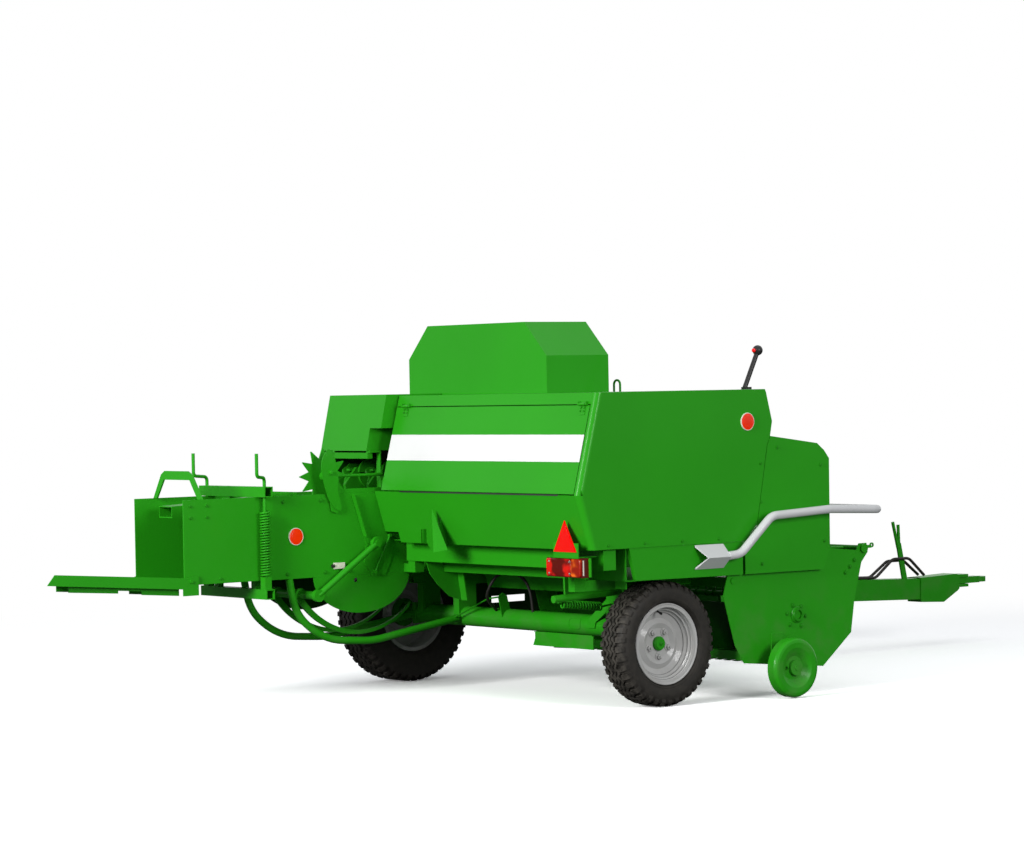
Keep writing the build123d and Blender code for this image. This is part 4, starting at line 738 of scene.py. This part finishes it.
class BALER_OT_lamps(bpy.types.Operator):
    """Rear lamps with red and amber lenses"""
    bl_idname = "baler.lamps"
    bl_label = "Rear lamps"

    def execute(self, context):
        housings, reds, ambers, strips, screws = Shape(), Shape(), Shape(), Shape(), Shape()
        x_back, x_front, z0, z1, rim = -0.552, -0.606, 0.688, 0.784, 0.004
        # Lamps: the outer edge, then inwards the join of amber and red, and the inner edge
        for outer, join, inner in ((-1.205, -1.126, -0.932), (1.253, 1.174, 0.980)):
            inward = 1 if inner > outer else -1
            y0, y1 = sorted((outer, inner))
            housings.box(at(x_front + 0.012, y0, z0), at(x_back, y1, z1))
            self.lens(ambers, outer + inward * rim, join - inward * 0.0008, x_front, z0 + rim, z1 - rim)
            self.lens(reds, join + inward * 0.0008, inner - inward * rim, x_front, z0 + rim, z1 - rim)
            a, b = sorted((outer - inward * 0.0008, outer + inward * 0.002))
            strips.box(at(x_front + 0.016, a, z0 + 0.010), at(x_front + 0.024, b, z1 - 0.010))
            for y in (inner - inward * 0.030, join + inward * 0.006):
                for z in (z0 + 0.018, z1 - 0.018):
                    screws.bolt(at(x_front + 0.0006, y, z), (-1, 0, 0), 0.0042)
        housings.piece("lamp_housings", "chassis", "lens_dark", 0, ("rear_lamps",))
        reds.piece("lamp_red_lenses", "chassis", "lens_red", 0.5)
        ambers.piece("lamp_amber_lenses", "chassis", "lens_orange", 0.5)
        strips.piece("lamp_strips", "chassis", "cream", 0)
        screws.piece("lamp_screws", "chassis", "zinc")
        return {"FINISHED"}

    def lens(self, shape, first, last, x_front, z0, z1):
        """A moulded lens with rounded corners and a bevelled rim."""
        y0, y1 = sorted((first, last))
        loops = []
        for depth, inset, corner in ((0.0125, 0.0, 0.012), (0.003, 0.0, 0.012), (0.0, 0.004, 0.010)):
            loop = []
            for cy, cz, turn in ((y1, z1, 0), (y0, z1, 90), (y0, z0, 180), (y1, z0, 270)):
                way_y = -1 if cy == y1 else 1
                way_z = -1 if cz == z1 else 1
                for k in range(5):
                    angle = math.radians(turn + k * 22.5)
                    loop.append(at(x_front + depth, cy + way_y * (inset + corner) + corner * math.cos(angle),
                                   cz + way_z * (inset + corner) + corner * math.sin(angle)))
            loops.append(loop)
        count = len(loops[0])
        bands = [(r * count + k, r * count + (k + 1) % count, (r + 1) * count + (k + 1) % count,
                  (r + 1) * count + k) for r in range(2) for k in range(count)]
        shape.add(loops[0] + loops[1] + loops[2], bands + [tuple(range(2 * count, 3 * count))])


class BALER_OT_controls(bpy.types.Operator):
    """Lever button, counter on the chamber wall, hose under the body and bell crank with its rod"""
    bl_idname = "baler.controls"
    bl_label = "Controls"

    def execute(self, context):
        button = Shape()
        button.lathe([(CORE, 0.0), (0.0105, 0.0), (0.0110, 0.003), (0.0095, 0.008), (0.006, 0.011),
                      (CORE, 0.012)], at(0.672, -1.117, 1.8063), (-1, -0.25, 0), 28)
        # The red button takes the triangle lens finish and with it its painted glow
        button.piece("lever_button", "chassis", "triangle")
        counter = Shape()
        counter.box(at(-0.905, 0.469, 0.694), at(-0.838, RIGHT_WALL_Y, 0.726))
        counter.piece("counter_case", "chassis", "cream", 0)
        cap = Shape()
        cap.lathe([(CORE, 0.0), (0.009, 0.0), (0.010, 0.003), (0.010, 0.011), (0.008, 0.014), (CORE, 0.014)],
                  at(-0.905, 0.473, 0.710), (-1, 0, 0), 24)
        cap.piece("counter_cap", "chassis", "black")
        hose = Shape()
        hose.tube(rounded([at(-0.03, 0.20, 0.434), at(-0.150, 0.13, 0.520), at(-0.125, 0.08, 0.625),
                           at(-0.076, 0.02, 0.652), at(-0.043, -0.05, 0.615), at(-0.030, -0.09, 0.545),
                           at(-0.02, -0.10, 0.438)], 4), 0.0085, 10)
        hose.piece("underbody_hose", "chassis", "hose", 0.9)
        crank = Shape()
        crank.prism([at(-0.052, 0.120, 0.400), at(0.0, 0.120, 0.442), at(-0.022, 0.120, 0.520),
                     at(-0.052, 0.120, 0.534), at(-0.078, 0.120, 0.512)], (0, 0.008, 0))
        crank.bolt(at(-0.052, 0.128, 0.512), (0, 1, 0), 0.008)
        crank.tube([at(-0.052, 0.138, 0.512), at(-0.075, 0.22, 0.499), at(-0.10, 0.526, 0.372),
                    at(-0.04, 0.60, 0.352)], 0.0045, 8)
        crank.piece("bell_crank", "chassis", "green_dark")
        return {"FINISHED"}


class BALER_OT_inner_plates(bpy.types.Operator):
    """Plates by the knotters, chamber, reel and rear panel, the metering plate and a weld on the axle; the
    dark plates by the knotters, chamber and reel carry painted shade
    """
    bl_idname = "baler.inner_plates"
    bl_label = "Inner plates"

    def execute(self, context):
        # Sheet behind the knotters in the darkened green: painted shadow for the dark gap under the hood
        back = Shape()
        back.box(at(-0.600, 0.9415, 1.0925), at(-0.204, 0.9445, 1.330))
        back.box(at(-0.2035, 0.600, 1.0925), at(-0.2005, 0.9445, 1.330))
        back.piece("knotter_back_plate", "chassis", "green_painted_shade", 0)
        # The skirt plates take the darkened green: painted shade under the left wall
        skirt = Shape()
        # Skirt under the left wall: (rear, front, bottom, top) of the plates round one window
        plate_y, plate = 0.9515, 0.004
        for x0, x1, z0, z1 in ((0.250, 0.950, 0.450, 0.654), (0.250, 0.525, 0.412, 0.450),
                               (0.770, 0.950, 0.412, 0.450), (0.250, 0.950, 0.335, 0.412)):
            skirt.box(at(x0, plate_y, z0), at(x1, plate_y + plate, z1))
        skirt.piece("chamber_skirt", "chassis", "green_painted_shade", 0)
        # Half-round plate in the darkened green: its darkness is painted shadow
        twin = Shape()
        arc = [at(-0.760 + 0.314 * math.cos(a), plate_y, 0.654 - 0.203 * math.sin(a)) for a in
               (math.pi * k / 40 for k in range(41))]
        twin.prism(arc, (0, plate, 0))
        twin.piece("guard_plate_left", "chassis", "green_painted_shade", 0.5)
        gusset = Shape()
        gusset.add([at(-0.634, -0.035, 1.012), at(-0.6385, 0.000, 0.822), at(-0.700, -0.130, 0.790),
                    at(-0.6385, -0.172, 0.800)], [(0, 1, 2), (0, 2, 3), (1, 3, 2), (0, 3, 1)])
        for y in (0.006, 0.022):
            gusset.box(at(-0.664, y, 0.832), at(-0.6405, y + 0.004, 0.905))
        gusset.piece("rear_gusset", "chassis", "green", 0)
        # The pan takes the darkened green: painted shade behind the reel
        pan = Shape()
        # Sloping pan behind the reel, outside the sweep of the tines
        pan.prism([at(x, -1.185, z) for x, z in
                   ((0.505, 0.500), (0.510, 0.500), (0.625, 0.193), (0.620, 0.193))], (0, 1.520, 0))
        pan.piece("reel_rear_pan", "pickup", "green_painted_shade", 0)
        hanger = Shape()
        hanger.box(at(-0.280, -1.170, 0.614), at(-0.276, -1.087, 0.8215))
        hanger.box(at(-0.4505, -1.1990, 0.7165), at(-0.3695, -1.1962, 0.8175))
        hanger.piece("skirt_hanger", "chassis", "green", 0)
        arm = Shape()
        arm_y = 0.4615
        outline = [at(x, arm_y, z) for x, z in
                   ((-0.935, 1.333), (-0.9725, 1.285), (-0.982, 1.224), (-0.963, 1.134), (-0.935, 1.058),
                    (-0.898, 1.013), (-0.862, 1.003), (-0.862, 1.041), (-0.878, 1.103), (-0.875, 1.178),
                    (-0.886, 1.246), (-0.902, 1.302))]
        arm.prism(rounded(outline, 3), (0, plate, 0))
        arm.bolt(at(-0.925, arm_y, 1.205), (0, -1, 0), 0.011)
        arm.piece("metering_plate", "chassis", "green", 0.4)
        weld = Shape()
        # A weld bead in the form of a rounded square on the axle tube's rear face
        radius, middle, tube_height, tall, wide = 0.0545, -0.485, 0.390, 0.52, 0.046
        loop = []
        for k in range(49):
            turn = 2 * math.pi * k / 48
            across = abs(math.cos(turn)) ** 0.4 * (1 if math.cos(turn) > 0 else -1)
            rise = abs(math.sin(turn)) ** 0.4 * (1 if math.sin(turn) > 0 else -1)
            angle = math.pi - 0.15 + rise * tall
            loop.append(at(radius * math.cos(angle), middle + across * wide,
                           tube_height + radius * math.sin(angle)))
        weld.tube(loop, 0.0028, 6)
        weld.piece("axle_weld", "chassis", "green", 0.9)
        return {"FINISHED"}


class BALER_OT_fasteners(bpy.types.Operator):
    """Bolts and screws on the chamber, side panel, drive cover and pickup"""
    bl_idname = "baler.fasteners"
    bl_label = "Fasteners"

    def execute(self, context):
        right, left = (0, -1, 0), (0, 1, 0)
        groups = {
            "chamber_bolts": ("chassis", 0.008, [
                (at(x, RIGHT_WALL_Y, z), right) for x in (-1.80, -1.70) for z in (1.06, 1.0)] + [
                (at(x, LEFT_WALL_Y, 1.06), left) for x in (-1.80, -1.60, -1.2, -0.6)] + [
                (at(x, RIGHT_WALL_Y, 1.060), right) for x in (-1.22, -0.98)] + [
                (at(x, RIGHT_WALL_Y, 0.68), right) for x in (-1.62, -1.20, -0.96, -0.80)]),
            "side_panel_screws": ("chassis", 0.006, [
                (at(x, SIDE_PANEL_Y, 0.842), right) for x in (-0.44, -0.20, 0.05, 0.30)] + [
                (at(0.60, SIDE_PANEL_Y, z), right) for z in (1.02, 1.22)]),
            "drive_cover_screws": ("chassis", 0.007, [
                (at(x, SIDE_PANEL_Y, z), right) for x, z in
                ((0.72, 1.30), (1.03, 1.20), (1.05, 0.80), (0.60, 0.70))]),
        }
        for name, (body, size, spots) in groups.items():
            shape = Shape()
            for i, (spot, out) in enumerate(spots):
                shape.bolt(spot, out, size, 0.37 * i)
            shape.piece(name, body, "green_dark")
        plate_y = -1.195
        shape = Shape()
        for x, z in ((0.80, 0.43), (0.84, 0.47), (0.90, 0.46), (0.93, 0.41), (0.90, 0.36), (0.82, 0.37),
                     (1.229, 0.622), (1.263, 0.652), (1.297, 0.685)):
            shape.bolt(at(x, plate_y, z), right, 0.009)
        shape.lathe([(0.0235, 0), (0.044, 0), (0.044, 0.005), (0.038, 0.008), (0.034, 0.018),
                     (0.0235, 0.018)], at(0.87, plate_y, 0.42), right, 40)
        shape.piece("pickup_bearing", "pickup", "green_dark")
        return {"FINISHED"}


class BALER_OT_stage(bpy.types.Operator):
    """Pale floor, soft light and the camera"""
    bl_idname = "baler.stage"
    bl_label = "Stage"

    def execute(self, context):
        self.floor()
        self.light()
        self.camera()
        return {"FINISHED"}

    def floor(self):
        # Half the floor's side, and the distances between which it fades to white
        half, fade_start, fade_end = 60.0, 3.6, 7.5
        # What the floor adds to its own light for the camera, and its grey for all other rays
        own_light, unseen_grey = 0.14, 0.14
        mesh = bpy.data.meshes.new("studio_floor")
        mesh.from_pydata([(-half, -half, 0), (half, -half, 0), (half, half, 0), (-half, half, 0)], [],
                         [(0, 1, 2, 3)])
        floor = bpy.data.objects.new("studio_floor", mesh)
        bpy.context.scene.collection.objects.link(floor)
        pale = Finish("studio_floor", (0.93, 0.93, 0.93), 0.9)
        rays = pale.node("ShaderNodeLightPath", output="Is Camera Ray")
        reach = pale.node("ShaderNodeVectorMath", {"operation": "LENGTH"}, {0: pale.place()}, output="Value")
        far = pale.spread(reach, fade_start, fade_end)
        white = pale.node("ShaderNodeEmission", inputs={"Color": (1, 1, 1, 1), "Strength": 1.0})
        lift = pale.node("ShaderNodeEmission", inputs={"Color": (1, 1, 1, 1), "Strength": own_light})
        again = pale.node("ShaderNodeBsdfDiffuse", inputs={"Color": (0.9, 0.9, 0.9, 1)})
        twice = pale.node("ShaderNodeAddShader", inputs={0: Value(pale, pale.shader.outputs[0]), 1: again})
        near = pale.node("ShaderNodeAddShader", inputs={0: twice, 1: lift})
        shown = pale.node("ShaderNodeMixShader", inputs={"Fac": far, 1: near, 2: white})
        dull = pale.node("ShaderNodeBsdfDiffuse", inputs={"Color": (unseen_grey,) * 3 + (1,)})
        whole = pale.node("ShaderNodeMixShader", inputs={"Fac": rays, 1: dull, 2: shown})
        output = next(n for n in pale.tree.nodes if n.type == "OUTPUT_MATERIAL")
        pale.tree.links.new(whole.socket, output.inputs["Surface"])
        mesh.materials.append(pale.material)

    def light(self):
        world = bpy.data.worlds.new("studio_world")
        bpy.context.scene.world = world
        world.use_nodes = True
        tree = world.node_tree
        tree.nodes.clear()
        path, output, soft, white, mix, most, either = (
            tree.nodes.new("ShaderNode" + kind) for kind in
            ("LightPath", "OutputWorld", "Background", "Background", "MixShader", "Math", "Math"))
        soft.inputs["Color"].default_value = (0.93, 0.96, 1.0, 1)
        soft.inputs["Strength"].default_value = 0.30
        white.inputs["Color"].default_value = (1, 1, 1, 1)
        most.operation = either.operation = "MAXIMUM"
        # Camera, glossy and transmission rays meet plain white, all others the soft light
        links = ((path.outputs["Is Camera Ray"], most.inputs[0]),
                 (path.outputs["Is Glossy Ray"], most.inputs[1]),
                 (most.outputs[0], either.inputs[0]),
                 (path.outputs["Is Transmission Ray"], either.inputs[1]),
                 (either.outputs[0], mix.inputs["Fac"]),
                 (soft.outputs[0], mix.inputs[1]),
                 (white.outputs[0], mix.inputs[2]),
                 (mix.outputs[0], output.inputs["Surface"]))
        for start, end in links:
            tree.links.new(start, end)
        # Lamps: (name, place, aim, size, watts)
        lamps = (("rear_key", (-11.0, -2.0, 4.0), (0.0, 0.0, 0.8), 3.5, 1080.0),
                 ("right_fill", (-1.0, -12.0, 4.0), (0.0, 0.0, 0.8), 4.0, 600.0),
                 ("top_soft", (1.0, -1.0, 9.0), (0.0, 0.0, 0.0), 7.0, 70.0))
        for name, place, aim, size, watts in lamps:
            data = bpy.data.lights.new(name, "AREA")
            data.shape = "DISK"
            data.size = size
            data.energy = watts
            lamp = bpy.data.objects.new(name, data)
            lamp.location = place
            lamp.rotation_euler = (Vector(aim) - Vector(place)).to_track_quat("-Z", "Y").to_euler()
            bpy.context.scene.collection.objects.link(lamp)

    def camera(self):
        """A long lens from the rear right, just above the deck."""
        turn, tilt, roll = math.radians(38.5528), math.radians(-0.7398), -0.019198
        ahead = Vector((math.sin(turn) * math.cos(tilt), math.cos(turn) * math.cos(tilt), math.sin(tilt)))
        level = Vector((math.cos(turn), -math.sin(turn), 0))
        above = level.cross(ahead)
        right = level * math.cos(roll) + above * math.sin(roll)
        up = above * math.cos(roll) - level * math.sin(roll)
        data = bpy.data.cameras.new("photo_camera")
        data.sensor_width = 36.0
        data.lens = 110.53
        data.clip_end = 300.0
        camera = bpy.data.objects.new("photo_camera", data)
        place = at(-10.5327, -13.1411, 1.6322)
        camera.matrix_world = Matrix(((right.x, up.x, -ahead.x, place.x), (right.y, up.y, -ahead.y, place.y),
                                      (right.z, up.z, -ahead.z, place.z), (0, 0, 0, 1)))
        bpy.context.scene.collection.objects.link(camera)
        bpy.context.scene.camera = camera
        bpy.context.scene.view_settings.view_transform = "Standard"


class BALER_PT_panel(bpy.types.Panel):
    bl_idname = "BALER_PT_panel"
    bl_label = "Square baler"
    bl_space_type = "VIEW_3D"
    bl_region_type = "UI"
    bl_category = "Baler"

    def draw(self, context):
        for group in (context.scene.baler_colours, context.scene.baler_sizes):
            for name in group.__annotations__:
                self.layout.prop(group, name)
        for operator in OPERATORS:
            self.layout.operator(operator.bl_idname)


OPERATORS = (BALER_OT_paint, BALER_OT_tyres, BALER_OT_wheel_trims, BALER_OT_springs, BALER_OT_tines,
             BALER_OT_lid_trims, BALER_OT_reflectors, BALER_OT_lamps, BALER_OT_controls,
             BALER_OT_inner_plates, BALER_OT_fasteners, BALER_OT_stage)
CLASSES = (BalerColours, BalerSizes) + OPERATORS + (BALER_PT_panel,)


def register():
    for each in CLASSES:
        bpy.utils.register_class(each)
    bpy.types.Scene.baler_colours = bpy.props.PointerProperty(type=BalerColours)
    bpy.types.Scene.baler_sizes = bpy.props.PointerProperty(type=BalerSizes)


def unregister():
    del bpy.types.Scene.baler_sizes
    del bpy.types.Scene.baler_colours
    for each in reversed(CLASSES):
        bpy.utils.unregister_class(each)


def main():
    register()
    for operator in OPERATORS:
        family, name = operator.bl_idname.split(".")
        getattr(getattr(bpy.ops, family), name)()


if __name__ == "__main__":
    main()
